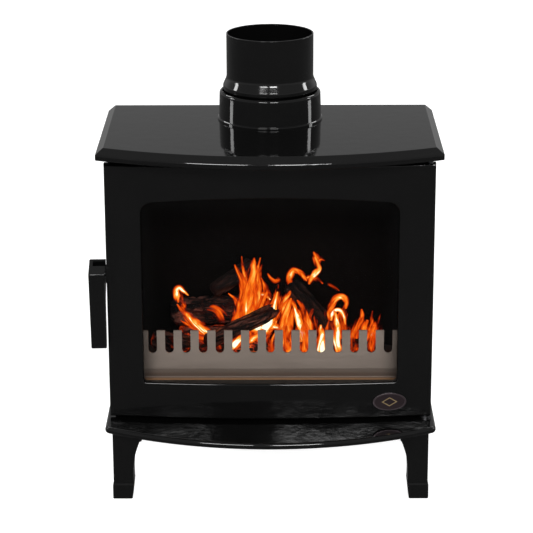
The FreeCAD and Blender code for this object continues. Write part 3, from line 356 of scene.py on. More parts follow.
def charred_wood(name, warmth, glow):
    """Burning log: split dark bark, brown where the skin holds, with red heat deep in its cracks."""
    material, graph, shader = new_material(name)
    along = graph.add("ShaderNodeAttribute", attribute_name="grain").outputs["Vector"]
    drawn = (1.0, 1.0, 0.28)
    bark = graph.add("ShaderNodeVectorMath", {0: along, 1: drawn}, operation="MULTIPLY").outputs[0]
    ridges = graph.noise(bark, 95.0, 6.0, 0.72, 0.7)
    plates = graph.noise(graph.object_place(), 45.0, 4.0, 0.65)
    crack = graph.add(
        "ShaderNodeTexVoronoi",
        {"Vector": bark, "Scale": 62.0, "Randomness": 0.9}, feature="DISTANCE_TO_EDGE",
    ).outputs["Distance"]
    open_crack = graph.spread(crack, 0.0, 0.16, 1.0, 0.0)
    warm = (0.085 * warmth, 0.034 * warmth, 0.026 * warmth)
    colour = graph.mix(graph.spread(ridges, 0.42, 0.70), (0.003, 0.0025, 0.0025), warm)
    ash = graph.mix(graph.spread(plates, 0.60, 0.8, 0.0, 0.45), colour, (0.06, 0.050, 0.050))
    seat = graph.add("ShaderNodeSeparateXYZ", {0: graph.object_place()}).outputs["Z"]
    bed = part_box("ember_bed")[1].z
    low_down = graph.spread(seat, bed + 3 * MM, bed + 42 * MM, 1.0, 0.04)
    patch = graph.spread(plates, 0.46, 0.66)
    heat = graph.math("MULTIPLY", graph.math("MULTIPLY", open_crack, patch), low_down)
    set_inputs(
        graph, shader,
        Base_Color=graph.mix(open_crack, ash, (0.002, 0.0015, 0.0015)), Roughness=0.85,
        Specular_IOR_Level=0.15,
        Normal=graph.bump(graph.math("SUBTRACT", ridges, open_crack), 2.6 * MM),
        Emission_Color=graph.ramp(
            heat, [(0.0, (0.22, 0.008, 0.0)), (0.5, (0.8, 0.06, 0.004)), (1.0, (1.0, 0.3, 0.04))]
        ),
        Emission_Strength=graph.math("MULTIPLY", heat, glow),
    )
    return material


def ember_coal():
    """Charcoal and ash: grey-black lumps, white ash dust on top, glowing red in the gaps."""
    material, graph, shader = new_material("ember_coal")
    place = graph.object_place()
    lumps = graph.noise(place, 120.0, 5.0, 0.7)
    heat = graph.noise(place, 21.0, 3.0, 0.6)
    crack = graph.add(
        "ShaderNodeTexVoronoi", {"Vector": place, "Scale": 110.0}, feature="DISTANCE_TO_EDGE"
    ).outputs["Distance"]
    gap = graph.spread(crack, 0.0, 0.12, 1.0, 0.0)
    right_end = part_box("ember_bed")[1].x
    across = graph.add("ShaderNodeSeparateXYZ", {0: place}).outputs["X"]
    warm_side = graph.spread(across, middle_x - 115 * MM, middle_x - 55 * MM, 0.16, 1.0)
    cool_end = graph.spread(across, right_end - 22 * MM, right_end - 2 * MM, 1.0, 0.0)
    seam = graph.math("MAXIMUM", gap, graph.spread(lumps, 0.6, 0.8, 0.0, 0.5))
    hot = graph.math("MULTIPLY", graph.spread(heat, 0.42, 0.66), seam)
    hot = graph.math("MULTIPLY", hot, graph.math("MULTIPLY", warm_side, cool_end))
    set_inputs(
        graph, shader,
        Base_Color=graph.mix(graph.spread(lumps, 0.5, 0.75), (0.008, 0.007, 0.007), (0.11, 0.095, 0.088)),
        Roughness=0.95, Normal=graph.bump(lumps, 1.0 * MM),
        Emission_Color=graph.ramp(
            hot, [(0.0, (0.3, 0.008, 0.0)), (0.5, (0.8, 0.05, 0.004)), (1.0, (1.0, 0.26, 0.03))]
        ),
        Emission_Strength=graph.math("MULTIPLY", hot, 1.5),
    )
    return material


def flame_gas():
    """Flame: white-hot in the core, orange to deep red at the rim, in torn streaks along its flow."""
    material, graph, shader = new_material("flame_gas")
    heat = graph.add("ShaderNodeAttribute", attribute_name="burn").outputs["Fac"]
    flow = graph.add("ShaderNodeAttribute", attribute_name="flow").outputs["Vector"]
    streaks = graph.noise(flow, 0.62, 3.0, 0.5, 1.8)
    fibres = graph.noise(flow, 1.9, 3.0, 0.5, 1.2)
    torn = graph.math("ADD", graph.math("MULTIPLY", streaks, 1.7), graph.math("MULTIPLY", fibres, 0.35))
    level = graph.math("ADD", heat, graph.math("SUBTRACT", torn, 1.12))
    colour = graph.ramp(
        level,
        [(0.04, (0.15, 0.003, 0.0)), (0.22, (0.58, 0.022, 0.001)), (0.44, (0.98, 0.090, 0.003)),
         (0.64, (1.0, 0.20, 0.010)), (0.82, (1.0, 0.46, 0.07)), (0.95, (1.0, 0.92, 0.66))],
    )
    set_inputs(
        graph, shader,
        Base_Color=(0.0, 0.0, 0.0), Roughness=1.0, Specular_IOR_Level=0.0,
        Emission_Color=colour, Emission_Strength=graph.spread(level, 0.3, 1.1, 0.9, 1.6),
        Alpha=graph.spread(level, 0.02, 0.55),
    )
    material.cycles.emission_sampling = "NONE"
    return material


def floor_paper():
    """White studio paper, almost without shading."""
    material, graph, shader = new_material("floor_paper")
    tooth = graph.noise(graph.object_place(), 8.0, 3.0)
    set_inputs(
        graph, shader,
        Base_Color=graph.mix(tooth, (0.62, 0.62, 0.62), (0.66, 0.66, 0.66)),
        Roughness=0.9, Specular_IOR_Level=0.0,
        Emission_Color=(1.0, 1.0, 1.0), Emission_Strength=0.86,
    )
    return material


# ------------------------------------------------------------------ mesh helpers


def mesh_object(name, body, material, points, faces):
    """A smooth-shaded mesh piece that rides on a body."""
    mesh = bpy.data.meshes.new(name)
    mesh.from_pydata([tuple(p) for p in points], [], faces)
    mesh.validate()
    mesh.polygons.foreach_set("use_smooth", [True] * len(mesh.polygons))
    made = bpy.data.objects.new(name, mesh)
    bpy.context.scene.collection.objects.link(made)
    made.data.materials.append(material)
    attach(made, body)
    return made


def float_attribute(made, name, values):
    made.data.attributes.new(name, "FLOAT", "POINT").data.foreach_set("value", values)


def vector_attribute(made, name, values):
    flat = [c for v in values for c in v]
    made.data.attributes.new(name, "FLOAT_VECTOR", "POINT").data.foreach_set("vector", flat)


def tube_faces(rings, around, loop=False):
    """Faces of a tube whose rings follow each other in the point list: a closed loop, or capped ends."""
    faces = []
    last = rings if loop else rings - 1
    for i in range(last):
        for j in range(around):
            a = i * around + j
            b = i * around + (j + 1) % around
            c = ((i + 1) % rings) * around + (j + 1) % around
            d = ((i + 1) % rings) * around + j
            faces.append((a, b, c, d))
    if not loop:
        faces.append(tuple(range(around - 1, -1, -1)))
        faces.append(tuple((rings - 1) * around + j for j in range(around)))
    return faces


def catmull(points, count):
    """Points along a smooth curve through the given ones."""
    padded = [points[0] * 2 - points[1], *points, points[-1] * 2 - points[-2]]
    made = []
    spans = len(points) - 1
    for i in range(count):
        t = i / (count - 1) * spans
        k = min(int(t), spans - 1)
        u = t - k
        p0, p1, p2, p3 = padded[k:k + 4]
        made.append(
            0.5 * ((2 * p1) + (p2 - p0) * u + (2 * p0 - 5 * p1 + 4 * p2 - p3) * u * u
                   + (3 * p1 - p0 - 3 * p2 + p3) * u * u * u)
        )
    return made


def axis_of_node(name):
    """(start, end, radius) of a long round CAD piece, from the spread of its vertices."""
    points = np.array([tuple(v.co) for v in nodes[name].data.vertices])
    spread = points - points.mean(axis=0)
    line = np.linalg.svd(spread, full_matrices=False)[2][0]
    if line[0] < 0:
        line = -line
    along = spread @ line
    middle = points.mean(axis=0)
    start = Vector(middle + line * along.min())
    end = Vector(middle + line * along.max())
    off = spread - np.outer(along, line)
    radius = float(np.sqrt((off ** 2).sum(axis=1)).max())
    return start, end, radius


# ------------------------------------------------------------------ camera, world, lights, floor


def make_camera():
    """The view of a product shot from in front and above, a little right of the middle."""
    pitch = math.radians(18.178)
    yaw = math.radians(0.328)
    roll = math.radians(-0.19)
    ahead = Vector((-math.sin(yaw) * math.cos(pitch), math.cos(yaw) * math.cos(pitch), -math.sin(pitch)))
    level = Vector((math.cos(yaw), math.sin(yaw), 0.0))
    upright = level.cross(ahead)
    right = level * math.cos(roll) + upright * math.sin(roll)
    up = upright * math.cos(roll) - level * math.sin(roll)
    data = bpy.data.cameras.new("camera")
    data.lens = 142.0
    data.sensor_width = 36.0  # both in mm
    camera = bpy.data.objects.new("camera", data)
    bpy.context.scene.collection.objects.link(camera)
    turn = Matrix((right, up, -ahead)).transposed()
    place = Vector((middle_x + 11.3 * MM, back_y - 3108.5 * MM, 1300.3 * MM))
    camera.matrix_world = Matrix.Translation(place) @ turn.to_4x4()
    bpy.context.scene.camera = camera


def direction(azimuth, elevation):
    """A unit vector; azimuth 0 is towards the front, and grows towards the right."""
    a = math.radians(azimuth)
    e = math.radians(elevation)
    return Vector((math.sin(a) * math.cos(e), -math.cos(a) * math.cos(e), math.sin(e)))


def make_world():
    """White to the camera, and a dim grey studio to everything that mirrors it."""
    world = bpy.data.worlds.new("studio")
    bpy.context.scene.world = world
    world.use_nodes = True
    graph = Graph(world.node_tree)
    graph.nodes.clear()
    way = graph.add("ShaderNodeTexCoord").outputs["Generated"]
    height = graph.add("ShaderNodeSeparateXYZ", {0: way}).outputs["Z"]
    level = graph.math("MULTIPLY_ADD", height, 0.5, 0.5)
    grey = graph.ramp(
        level,
        [(0.0, (0.10,) * 3), (0.44, (0.13,) * 3), (0.50, (0.36,) * 3), (0.54, (0.42,) * 3),
         (0.64, (0.26,) * 3), (1.0, (0.30,) * 3)],
    )
    seen = graph.add("ShaderNodeLightPath").outputs["Is Camera Ray"]
    shown = graph.mix(seen, grey, (1.0, 1.0, 1.0))
    background = graph.add("ShaderNodeBackground", {"Color": shown, "Strength": 1.0})
    output = graph.add("ShaderNodeOutputWorld")
    graph.links.new(background.outputs[0], output.inputs["Surface"])
    bpy.context.scene.view_settings.view_transform = "Standard"


def soft_box(name, azimuth, elevation, distance, width, height, radiance):
    """A rectangular studio light that faces the stove; angles in degrees, sizes in metres."""
    data = bpy.data.lights.new(name, "AREA")
    data.shape = "RECTANGLE"
    data.size = width
    data.size_y = height
    data.energy = radiance * math.pi * width * height
    lamp = bpy.data.objects.new(name, data)
    bpy.context.scene.collection.objects.link(lamp)
    target = Vector((middle_x, back_y - 130 * MM, 320 * MM))  # the middle of the fire box
    out = direction(azimuth, elevation)
    lamp.location = target + out * distance
    lamp.rotation_mode = "QUATERNION"
    lamp.rotation_quaternion = out.to_track_quat("Z", "Y")


def make_lights():
    """Two wide boxes far off in front, and small ones at the sides and behind for the other views."""
    # azimuth and elevation in degrees, distance, width and height in metres, and radiance
    soft_box("front_left", -16.5, 27.7, 14.0, 4.2, 2.4, 21.0)
    soft_box("front_right", 9.5, 27.5, 14.0, 3.9, 2.4, 29.0)
    soft_box("side_left", -97, 20.5, 3.2, 0.5, 0.75, 12.0)
    soft_box("side_right", 101, 20.5, 3.2, 0.5, 0.75, 12.0)
    soft_box("back_left", -150, 38, 3.4, 0.8, 0.6, 5.0)
    soft_box("back_right", 152, 38, 3.4, 0.8, 0.6, 5.0)


def make_floor():
    """A flat pale floor much larger than the stove."""
    count = 24
    side = 28.0
    points = []
    for i in range(count + 1):
        for j in range(count + 1):
            x = (i / count - 0.5) * side
            y = (j / count - 0.5) * side
            points.append((x, y, 0.0))
    faces = []
    for i in range(count):
        for j in range(count):
            a = i * (count + 1) + j
            faces.append((a, a + count + 1, a + count + 2, a + 1))
    mesh = bpy.data.meshes.new("floor")
    mesh.from_pydata(points, [], faces)
    floor = bpy.data.objects.new("floor", mesh)
    bpy.context.scene.collection.objects.link(floor)
    floor.location.z = min(0.0, cad_low.z) - 0.2 * MM
    floor.data.materials.append(floor_paper())
    floor.visible_glossy = False


# ------------------------------------------------------------------ finishes of the CAD nodes


def finish_nodes():
    """Gives every CAD node its material by the record's slot."""
    made = {
        "black_enamel": enamel("black_enamel", tone=0.0022, gloss=0.055, peel=1.0),
        "pipe_enamel": enamel("pipe_enamel", tone=0.0025, gloss=0.08, peel=0.7),
        "bare_cast_iron": bare_iron("bare_cast_iron", tone=0.045, rust=0.5),
        "guard_steel": guard_steel(),
        "sheet_steel": sheet_steel(),
        "zinc_steel": turned_steel(
            "zinc_steel", tone=(0.13, 0.13, 0.135), rough=0.34, streaks=(1.0, 1.0, 8.0)
        ),
        "fire_glass": fire_glass(),
        "sooted_brick": sooted_brick(),
        "seal_rope": seal_rope(),
        "badge_metal": badge_metal(),
        "log_wood": charred_wood("log_wood", warmth=1.7, glow=1.8),
        "embers": ember_coal(),
    }
    for part in frame["record"]["subparts"]:
        material = made[part["material_slot"]]
        mesh = nodes[part["node"]].data
        mesh.materials.clear()
        mesh.materials.append(material)
    return made


# ------------------------------------------------------------------ places in the stove


def stove(x, y, z):
    """A point given in mm from the top plate's middle, its back edge and the floor."""
    return Vector((middle_x + x * MM, back_y + y * MM, z * MM))


# ------------------------------------------------------------------ rope seals


def rounded_ring(node, inset, corner, step):
    """(point, outward direction) pairs along a rounded rectangle, inset from a standing node's outside."""
    low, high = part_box(node)
    half_x = (high.x - low.x) / 2 - inset
    half_z = (high.z - low.z) / 2 - inset
    centre = (low + high) / 2
    straight_x = half_x - corner
    straight_z = half_z - corner
    runs = []
    for k in range(4):
        angle = k * math.pi / 2
        out = Vector((math.cos(angle), 0, math.sin(angle)))
        along = Vector((-math.sin(angle), 0, math.cos(angle)))
        reach = half_x if k % 2 == 0 else half_z
        half = straight_z if k % 2 == 0 else straight_x
        count = max(2, int(2 * half / step))
        for i in range(count):
            runs.append((centre + out * reach + along * (half * (2 * i / count - 1)), out))
        pivot = centre + out * (reach - corner) + along * half
        turns = max(3, int(corner * math.pi / 2 / step))
        for i in range(turns):
            bend = angle + math.pi / 2 * i / turns
            away = Vector((math.cos(bend), 0, math.sin(bend)))
            runs.append((pivot + away * corner, away))
    return runs


def make_braid(name, node, body, material, band, corner, strands, lay):
    """A braided ring: strands that wind round each other along a rounded rectangle and fill its band."""
    low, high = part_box(node)
    deep = (high.y - low.y) / 2
    wide = band / 2
    strand_r = min(deep, wide) * 0.46
    step = 1.6 * MM
    route = rounded_ring(node, wide, corner, step)
    count = len(route)
    turns = round(count * step / lay)
    around = 7
    depth = Vector((0, 1, 0))
    points = []
    faces = []
    for strand in range(strands):
        first = len(points)
        for i, (place, out) in enumerate(route):
            wind = 2 * math.pi * (turns * i / count + strand / strands)
            middle = place + out * ((wide - strand_r) * math.cos(wind))
            middle = middle + depth * ((deep - strand_r) * math.sin(wind))
            for j in range(around):
                angle = 2 * math.pi * j / around
                fuzz = strand_r * (1 + 0.10 * noise.noise(place * 700 + Vector((j, strand, 0))))
                points.append(middle + out * (fuzz * math.cos(angle)) + depth * (fuzz * math.sin(angle)))
        faces += [tuple(first + v for v in face) for face in tube_faces(count, around, loop=True)]
    braid = mesh_object(name, body, material, points, faces)
    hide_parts(node)


# ------------------------------------------------------------------ logs and embers


def make_log(node, material, seed, flat, bark):
    """A split log in place of a plain billet: ridged bark or long grain, flats, and broken ends."""
    start, end, radius = axis_of_node(node)
    axis = (end - start).normalized()
    length = (end - start).length
    side = axis.cross(Vector((0, 0, 1))).normalized()
    up = side.cross(axis)
    ring_gap = 1.7 * MM
    rings = max(40, int(length / ring_gap))
    around = 72
    shift = Vector((seed * 3.7, seed * 1.9, seed * 5.3))
    points = []
    grain = []
    for i in range(rings):
        t = i / (rings - 1)
        bend = 0.06 * radius * math.sin(3.0 * t + seed)
        end_round = min(1.0, (min(t, 1 - t) * length / (0.45 * radius) + 0.30)) ** 0.5
        for j in range(around):
            angle = 2 * math.pi * j / around
            ring = Vector((math.cos(angle), math.sin(angle), 0))
            along = t * length
            skin_x, skin_y = ring.x * radius, ring.y * radius
            field = Vector((skin_x, skin_y, along * 0.22)) + shift
            ridge = noise.fractal(field * 160, 0.9, 2.2, 4)
            block = noise.voronoi(Vector((skin_x, skin_y, along * 0.55)) * 85 + shift * 9)[0]
            lump = noise.fractal(field * 38 + shift, 1.0, 2.0, 2)
            groove = max(0.0, 0.5 - (block[1] - block[0]) * 2.2)
            facet = flat * max(0.0, math.cos(angle * 3 + seed)) ** 2
            ragged = 0.10 * noise.noise(Vector((ring.x * 3, ring.y * 3, seed)))
            scale = 0.90 - facet + 0.06 * lump + bark * (0.07 * ridge - 0.26 * groove)
            r = radius * min(1.0, scale) * min(1.0, end_round + ragged * (1 - end_round))
            place = start + axis * along + up * bend
            points.append(place + side * (ring.x * r) + up * (ring.y * r))
            grain.append((ring.x * r, ring.y * r, along))
    log = mesh_object(node + "_bark", "root", material, points, tube_faces(rings, around))
    vector_attribute(log, "grain", grain)
    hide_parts(node)


def make_ember_bed(material):
    """A low uneven bed of ash and small coals over the grate."""
    low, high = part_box("ember_bed")
    across, deep = 150, 56
    thinnest = 1.0 * MM
    tallest = high.z - low.z - 0.5 * MM
    points = []
    for i in range(across + 1):
        for j in range(deep + 1):
            u, v = i / across, j / deep
            x = low.x + (high.x - low.x) * u
            y = low.y + (high.y - low.y) * v
            edge = min(1.0, 9 * min(u, 1 - u), 5 * min(v, 1 - v))
            rough = 0.5 + 0.5 * noise.fractal(Vector((x, y, 0)) * 60, 0.8, 2.1, 4)
            lumps = noise.voronoi(Vector((x, y, 0.3)) * 85)[0][0]
            rise = edge * (0.30 + 0.55 * rough - 0.35 * lumps)
            thick = thinnest + (tallest - thinnest) * max(0.0, min(1.0, rise))
            points.append((x, y, low.z + thick))
    top_count = len(points)
    points += [(x, y, low.z) for x, y, _ in points]
    faces = []
    wide = deep + 1
    for i in range(across):
        for j in range(deep):
            a = i * wide + j
            faces.append((a, a + wide, a + wide + 1, a + 1))
            b = a + top_count
            faces.append((b, b + 1, b + wide + 1, b + wide))
    border = [i * wide for i in range(across + 1)]
    border += [across * wide + j for j in range(1, wide)]
    border += [i * wide + deep for i in range(across - 1, -1, -1)]
    border += [j for j in range(deep - 1, 0, -1)]
    for k, a in enumerate(border):
        b = border[(k + 1) % len(border)]
        faces.append((b, a, a + top_count, b + top_count))
    bed = mesh_object("ember_bed_ash", "root", material, points, faces)
    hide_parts("ember_bed")


def make_coals(material):
    """Broken lumps of charcoal strewn over the bed, as one piece."""
    low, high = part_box("ember_bed")
    draw = random.Random(41)
    mesh = bmesh.new()
    lumps = 120
    inset_x, inset_y = 14 * MM, 12 * MM
    seat = high.z - 3 * MM
    for k in range(lumps):
        size = draw.uniform(4.5, 9.5) * MM
        x = draw.uniform(low.x + inset_x, high.x - inset_x)
        y = draw.uniform(low.y + inset_y, high.y - inset_y)
        place = Vector((x, y, seat + size * 0.25))
        stretch = Vector((draw.uniform(0.8, 1.5), draw.uniform(0.7, 1.1), draw.uniform(0.55, 0.85)))
        turn = Matrix.Rotation(draw.uniform(0, math.pi), 3, "Z")
        made = bmesh.ops.create_icosphere(mesh, subdivisions=3, radius=1.0)
        shift = Vector((k * 1.7, k * 0.9, 2.0))
        for vertex in made["verts"]:
            way = vertex.co.normalized()
            chips = noise.voronoi(way * 1.5 + shift)[0][0]
            r = size * (0.78 + 0.34 * chips + 0.08 * noise.noise(way * 5 + shift))
            local = turn @ Vector((way.x * stretch.x, way.y * stretch.y, way.z * stretch.z))
            vertex.co = place + local * r
    data = bpy.data.meshes.new("coals")
    mesh.to_mesh(data)
    mesh.free()
    data.polygons.foreach_set("use_smooth", [True] * len(data.polygons))
    data.materials.append(material)
    coals = bpy.data.objects.new("coals", data)
    bpy.context.scene.collection.objects.link(coals)
    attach(coals, "root")


# ------------------------------------------------------------------ flames

# Each flame: depth y, turn about its own height in degrees, heat, and its line of (x, z, half width)
# from the root to the tip, all in mm in the stove's own directions.
FLAMES = {
    "big_core": (-120, 8, 0.86, [
        (-34, 196, 8), (-36, 228, 17), (-32, 262, 15), (-29, 290, 10), (-26, 312, 6.5),
        (-24, 333, 1.5)]),
    "big_left": (-124, -14, 0.70, [
        (-44, 214, 9), (-42, 246, 11), (-38, 276, 9), (-41, 296, 6.5), (-48, 311, 4.5),
        (-53, 324, 1.2)]),
    "big_thin": (-118, 4, 0.60, [(-36, 268, 6), (-36, 290, 4), (-40, 312, 2.6), (-43, 334, 0.8)]),
    "big_right": (-117, 18, 0.72, [
        (-22, 232, 11), (-20, 262, 10), (-20, 286, 7.5), (-18, 308, 5), (-15, 332, 1.2)]),
    "big_shoulder": (-114, -10, 0.62, [
        (-26, 222, 10), (-14, 250, 9.5), (-9, 268, 7), (-8, 284, 4.5), (-14, 300, 1.2)]),
    "big_edge": (-116, 12, 0.55, [(-14, 236, 7), (-4, 256, 5), (-2, 272, 3.5), (-8, 286, 1.0)]),
    "big_hook": (-112, 0, 1.12, [
        (-22, 246, 2.2), (-21, 260, 3.0), (-16, 270, 3.2), (-8, 271, 2.8), (0, 264, 1.0)]),
    "side_spark": (-126, 0, 0.72, [(-50, 256, 3.0), (-51, 266, 3.4), (-56, 272, 2.4), (-63, 279, 0.7)]),
    "left_curl": (-150, 0, 1.10, [
        (-138, 272, 1.6), (-139, 282, 4.4), (-139, 292, 4.0), (-135, 296, 3.6), (-129, 291, 2.6),
        (-122, 284, 0.8)]),
    "left_stem": (-150, 0, 0.46, [
        (-126, 254, 3.0), (-130, 268, 4.2), (-133, 283, 4.4), (-136, 292, 2.0)]),
    "left_ribbon": (-150, 6, 0.80, [
        (-86, 206, 5), (-92, 222, 7.5), (-104, 232, 8.5), (-116, 242, 6.5), (-127, 254, 3.6),
        (-139, 271, 0.9)]),
    "left_under": (-154, -8, 0.55, [
        (-74, 200, 5), (-88, 214, 8), (-106, 224, 7), (-122, 238, 3.5), (-134, 246, 0.8)]),
    "left_glow": (-128, 0, 0.42, [(-70, 232, 6), (-76, 244, 9), (-84, 252, 7), (-96, 254, 2)]),
    "crescent": (-116, 0, 0.66, [
        (11, 301, 1.0), (13, 296, 2.6), (7, 293, 3.6), (1, 298, 3.4), (-4, 307, 0.9)]),
    "centre_core": (-135, 6, 1.22, [
        (-12, 204, 7), (-12, 220, 11), (-2, 236, 9), (4, 252, 6.5), (8, 270, 4.5), (11, 284, 1.4)]),
    "centre_tip": (-132, -8, 0.70, [(0, 236, 9), (6, 258, 8), (10, 276, 5.5), (12, 294, 1.1)]),
    "centre_right": (-137, 10, 0.62, [(10, 232, 9), (16, 252, 8), (23, 270, 6), (30, 286, 1.4)]),
    "centre_base": (-141, -4, 1.20, [
        (-34, 222, 2), (-22, 227, 4), (-8, 231, 6), (6, 230, 6), (20, 224, 2.5)]),
    "centre_veil": (-146, 12, 0.60, [
        (22, 200, 11), (22, 226, 13), (24, 248, 9.5), (28, 266, 5), (31, 278, 1.2)]),
    "arch_left": (-145, 0, 0.88, [
        (18, 240, 4), (20, 258, 4.6), (26, 271, 4.6), (33, 270, 4.0), (38, 258, 3)]),
    "arch_streak": (-146, 0, 1.22, [
        (52, 196, 5), (48, 220, 6.0), (43, 238, 5.0), (38, 254, 3.8), (33, 268, 1.2)]),
    "arch_right": (-144, -10, 0.66, [
        (56, 200, 9), (54, 226, 11), (50, 248, 8), (46, 264, 5), (40, 274, 1.2)]),
    "right_sheet": (-138, 14, 0.52, [(62, 206, 10), (60, 230, 10), (58, 246, 6), (64, 258, 1.4)]),
    "upper_arch": (-106, 0, 0.86, [
        (30, 282, 2.4), (29, 296, 4.4), (34, 308, 4.8), (43, 305, 4.2), (50, 297, 3.0), (55, 291, 1.0)]),
    "upper_low": (-107, 0, 0.50, [(42, 276, 1.0), (36, 282, 4.4), (31, 291, 4.6), (29, 300, 2)]),
    "upper_base": (-104, 0, 0.66, [(50, 292, 2.4), (58, 296, 5.0), (68, 294, 4.6), (79, 286, 1.0)]),
    "upper_twist": (-103, 0, 1.06, [
        (58, 285, 1.6), (62, 294, 4.0), (69, 303, 4.2), (74, 311, 3.0), (71, 320, 2.6), (67, 329, 2.2)]),
    "upper_flag": (-103, 0, 0.60, [(71, 312, 2.0), (70, 322, 5.0), (68, 330, 4.4), (65, 337, 1.0)]),
    "upper_fin": (-102, 0, 0.54, [(70, 319, 4.2), (76, 325, 3.4), (82, 323, 0.8)]),
    "wisp": (-104, 0, 0.56, [(84, 290, 1.0), (91, 285, 2.6), (98, 280, 2.6), (104, 275, 0.7)]),
    "curl_loop": (-150, 0, 0.82, [
        (88, 246, 4), (87, 258, 4.6), (92, 268, 4.2), (98, 278, 4.0), (107, 281, 4.2), (114, 274, 3.6),
        (112, 263, 1.6)]),
    "curl_inner": (-151, 0, 1.16, [
        (90, 244, 2), (92, 254, 3.6), (98, 260, 3.6), (105, 259, 3.2), (110, 250, 2.8),
        (112, 238, 1.2)]),
    "curl_stem": (-191, 0, 1.25, [
        (101, 203, 5.0), (99, 222, 5.0), (99, 244, 4.6), (97, 262, 3.4), (94, 274, 1.2)]),
    "curl_skirt": (-150, 8, 0.66, [
        (106, 188, 9), (106, 214, 12), (104, 236, 11), (106, 252, 7), (112, 268, 2)]),
    "curl_foot": (-156, -10, 0.62, [(88, 186, 7), (86, 210, 7), (88, 232, 5), (90, 250, 1.4)]),
    "far_left": (-150, 0, 0.60, [
        (122, 196, 7), (124, 218, 9), (132, 236, 7), (136, 250, 4), (136, 262, 1)]),
    "far_sheet": (-148, 12, 0.66, [(140, 192, 12), (142, 216, 14), (142, 232, 9), (146, 244, 3)]),
    "far_right": (-151, -6, 0.84, [
        (152, 196, 5), (152, 218, 7), (152, 236, 5.5), (151, 248, 3.4), (152, 260, 0.9)]),
    "far_edge": (-149, 0, 0.46, [(158, 206, 6), (160, 228, 6), (163, 246, 3), (164, 260, 0.8)]),
    "slot_left": (-172, 0, 1.16, [(-60, 203, 4), (-53, 213, 7), (-46, 222, 5.5), (-38, 230, 1.5)]),
    "slot_middle": (-168, 0, 1.05, [(-35, 214, 2.5), (-27, 221, 4.5), (-18, 228, 3), (-10, 236, 1)]),
    "slot_orange": (-192, 0, 0.82, [(48, 202, 8), (51, 216, 9), (51, 234, 7.5), (49, 254, 2)]),
    "slot_white": (-192, 0, 1.22, [(75, 202, 8), (75, 216, 8.5), (76, 234, 6.5), (74, 252, 1.5)]),
    "slot_dim": (-166, 0, 0.42, [(2, 196, 8), (4, 214, 11), (12, 230, 7), (20, 242, 2)]),
    "slot_far": (-192, 0, 0.62, [(150, 206, 3), (148, 218, 7), (150, 232, 7), (154, 250, 2)]),
    "slot_red": (-192, 0, 0.36, [(124, 202, 6), (124, 216, 8), (122, 236, 7), (118, 254, 2)]),
    "slot_low": (-192, 0, 0.58, [(27, 200, 5), (27, 214, 7), (25, 232, 6), (24, 250, 2)]),
    "slot_seat": (-192, 0, 0.30, [(0, 202, 5), (2, 214, 7), (-2, 228, 5), (-6, 240, 1.5)]),
}


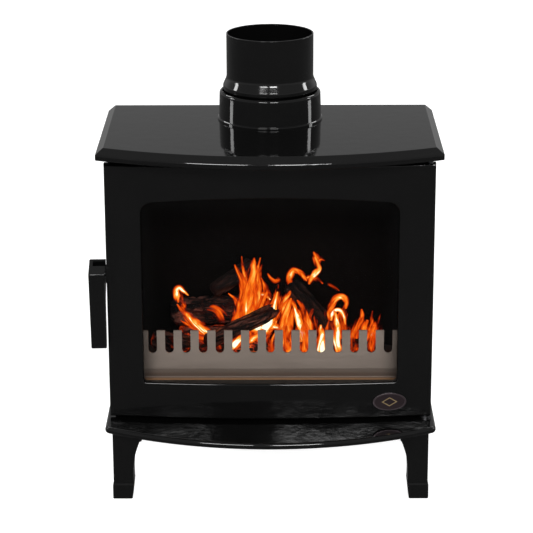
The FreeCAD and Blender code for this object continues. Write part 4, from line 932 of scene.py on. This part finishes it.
def make_flame(name, material, seed):
    """One sheet of flame along its line, bellied in depth, with ragged edges and heat from core to rim."""
    depth, turn, heat, line = FLAMES[name]
    spine = [stove(x, depth, z) for x, z, _ in line]
    widths = [Vector((half * MM, 0, 0)) for _, _, half in line]
    count = 64
    across = 21
    thinnest = 0.25 * MM
    places = catmull(spine, count)
    halves = catmull(widths, count)
    sway = math.tan(math.radians(turn))
    bulge = 0.35 if seed % 2 else -0.35
    points = []
    heats = []
    flow = []
    travelled = 0.0
    for i, place in enumerate(places):
        ahead = places[min(i + 1, count - 1)] - places[max(i - 1, 0)]
        ahead.y = 0
        ahead.normalize()
        side = Vector((ahead.z, 0, -ahead.x))
        if i:
            travelled += (place - places[i - 1]).length
        t = i / (count - 1)
        half = max(thinnest, halves[i].x)
        fade = min(1.0, 0.35 + 2.4 * t) * (1 - 0.30 * t)
        ripple = 1.5 * MM * math.sin(travelled * 90 + seed)
        for j in range(across):
            v = 2 * j / (across - 1) - 1
            edge = 1 + 0.42 * noise.noise(Vector((travelled * 85, 3.1 * (v > 0) + seed, 0.5))) * abs(v)
            reach = v * half * 1.4 * edge
            belly = bulge * half * (1 - v * v)
            point = place + side * reach
            point.y += belly + reach * side.x * sway + ripple
            points.append(point)
            heats.append(heat * fade * (1 - abs(v) ** 1.7) + 0.06)
            flow.append((reach / (7.5 * MM), travelled / (34 * MM), seed * 3.3))
    faces = []
    for i in range(count - 1):
        for j in range(across - 1):
            a = i * across + j
            faces.append((a, a + 1, a + across + 1, a + across))
    flame = mesh_object("flame_" + name, "root", material, points, faces)
    float_attribute(flame, "burn", heats)
    vector_attribute(flame, "flow", flow)
    flame.visible_shadow = False
    flame.visible_glossy = False


def make_fire_light():
    """Warm light that the flames throw on the logs and the guard's inner side."""
    places = [
        (-30, -135, 262, 0.16), (30, -150, 240, 0.16), (100, -150, 240, 0.12), (-96, -165, 246, 0.12),
    ]
    for x, y, z, power in places:
        data = bpy.data.lights.new("fire_light", "POINT")
        data.color = (1.0, 0.34, 0.09)
        data.energy = power
        data.shadow_soft_size = 28 * MM
        lamp = bpy.data.objects.new("fire_light", data)
        bpy.context.scene.collection.objects.link(lamp)
        lamp.location = stove(x, y, z)
        lamp.visible_glossy = False


def make_fire(made):
    """Logs, embers and flames in the fire box."""
    wood = made["log_wood"]
    dark = charred_wood("log_dark", warmth=0.5, glow=0.8)
    brown = charred_wood("log_brown", warmth=1.9, glow=1.4)
    sooty = charred_wood("log_sooty", warmth=0.4, glow=0.8)
    make_log("log_back", wood, seed=1, flat=0.05, bark=1.0)
    make_log("log_under", wood, seed=2, flat=0.08, bark=0.9)
    make_log("log_leaning", dark, seed=3, flat=0.16, bark=0.7)
    make_log("log_front_left", wood, seed=4, flat=0.08, bark=0.9)
    make_log("log_diagonal", brown, seed=5, flat=0.18, bark=0.35)
    make_log("log_right", sooty, seed=6, flat=0.16, bark=0.6)
    make_log("log_front_right", wood, seed=7, flat=0.10, bark=0.8)
    make_ember_bed(made["embers"])
    make_coals(made["embers"])
    gas = flame_gas()
    for seed, name in enumerate(FLAMES):
        make_flame(name, gas, seed)
    make_fire_light()


materials = finish_nodes()
make_camera()
make_world()
make_lights()
make_floor()
rope = materials["seal_rope"]
make_braid(
    "door_rope_braid", "door_rope_seal", "door", rope,
    band=9 * MM, corner=10 * MM, strands=3, lay=15 * MM,
)
make_braid(
    "glass_seal_braid", "glass_seal", "door", rope,
    band=7 * MM, corner=8 * MM, strands=3, lay=11 * MM,
)
make_fire(materials)
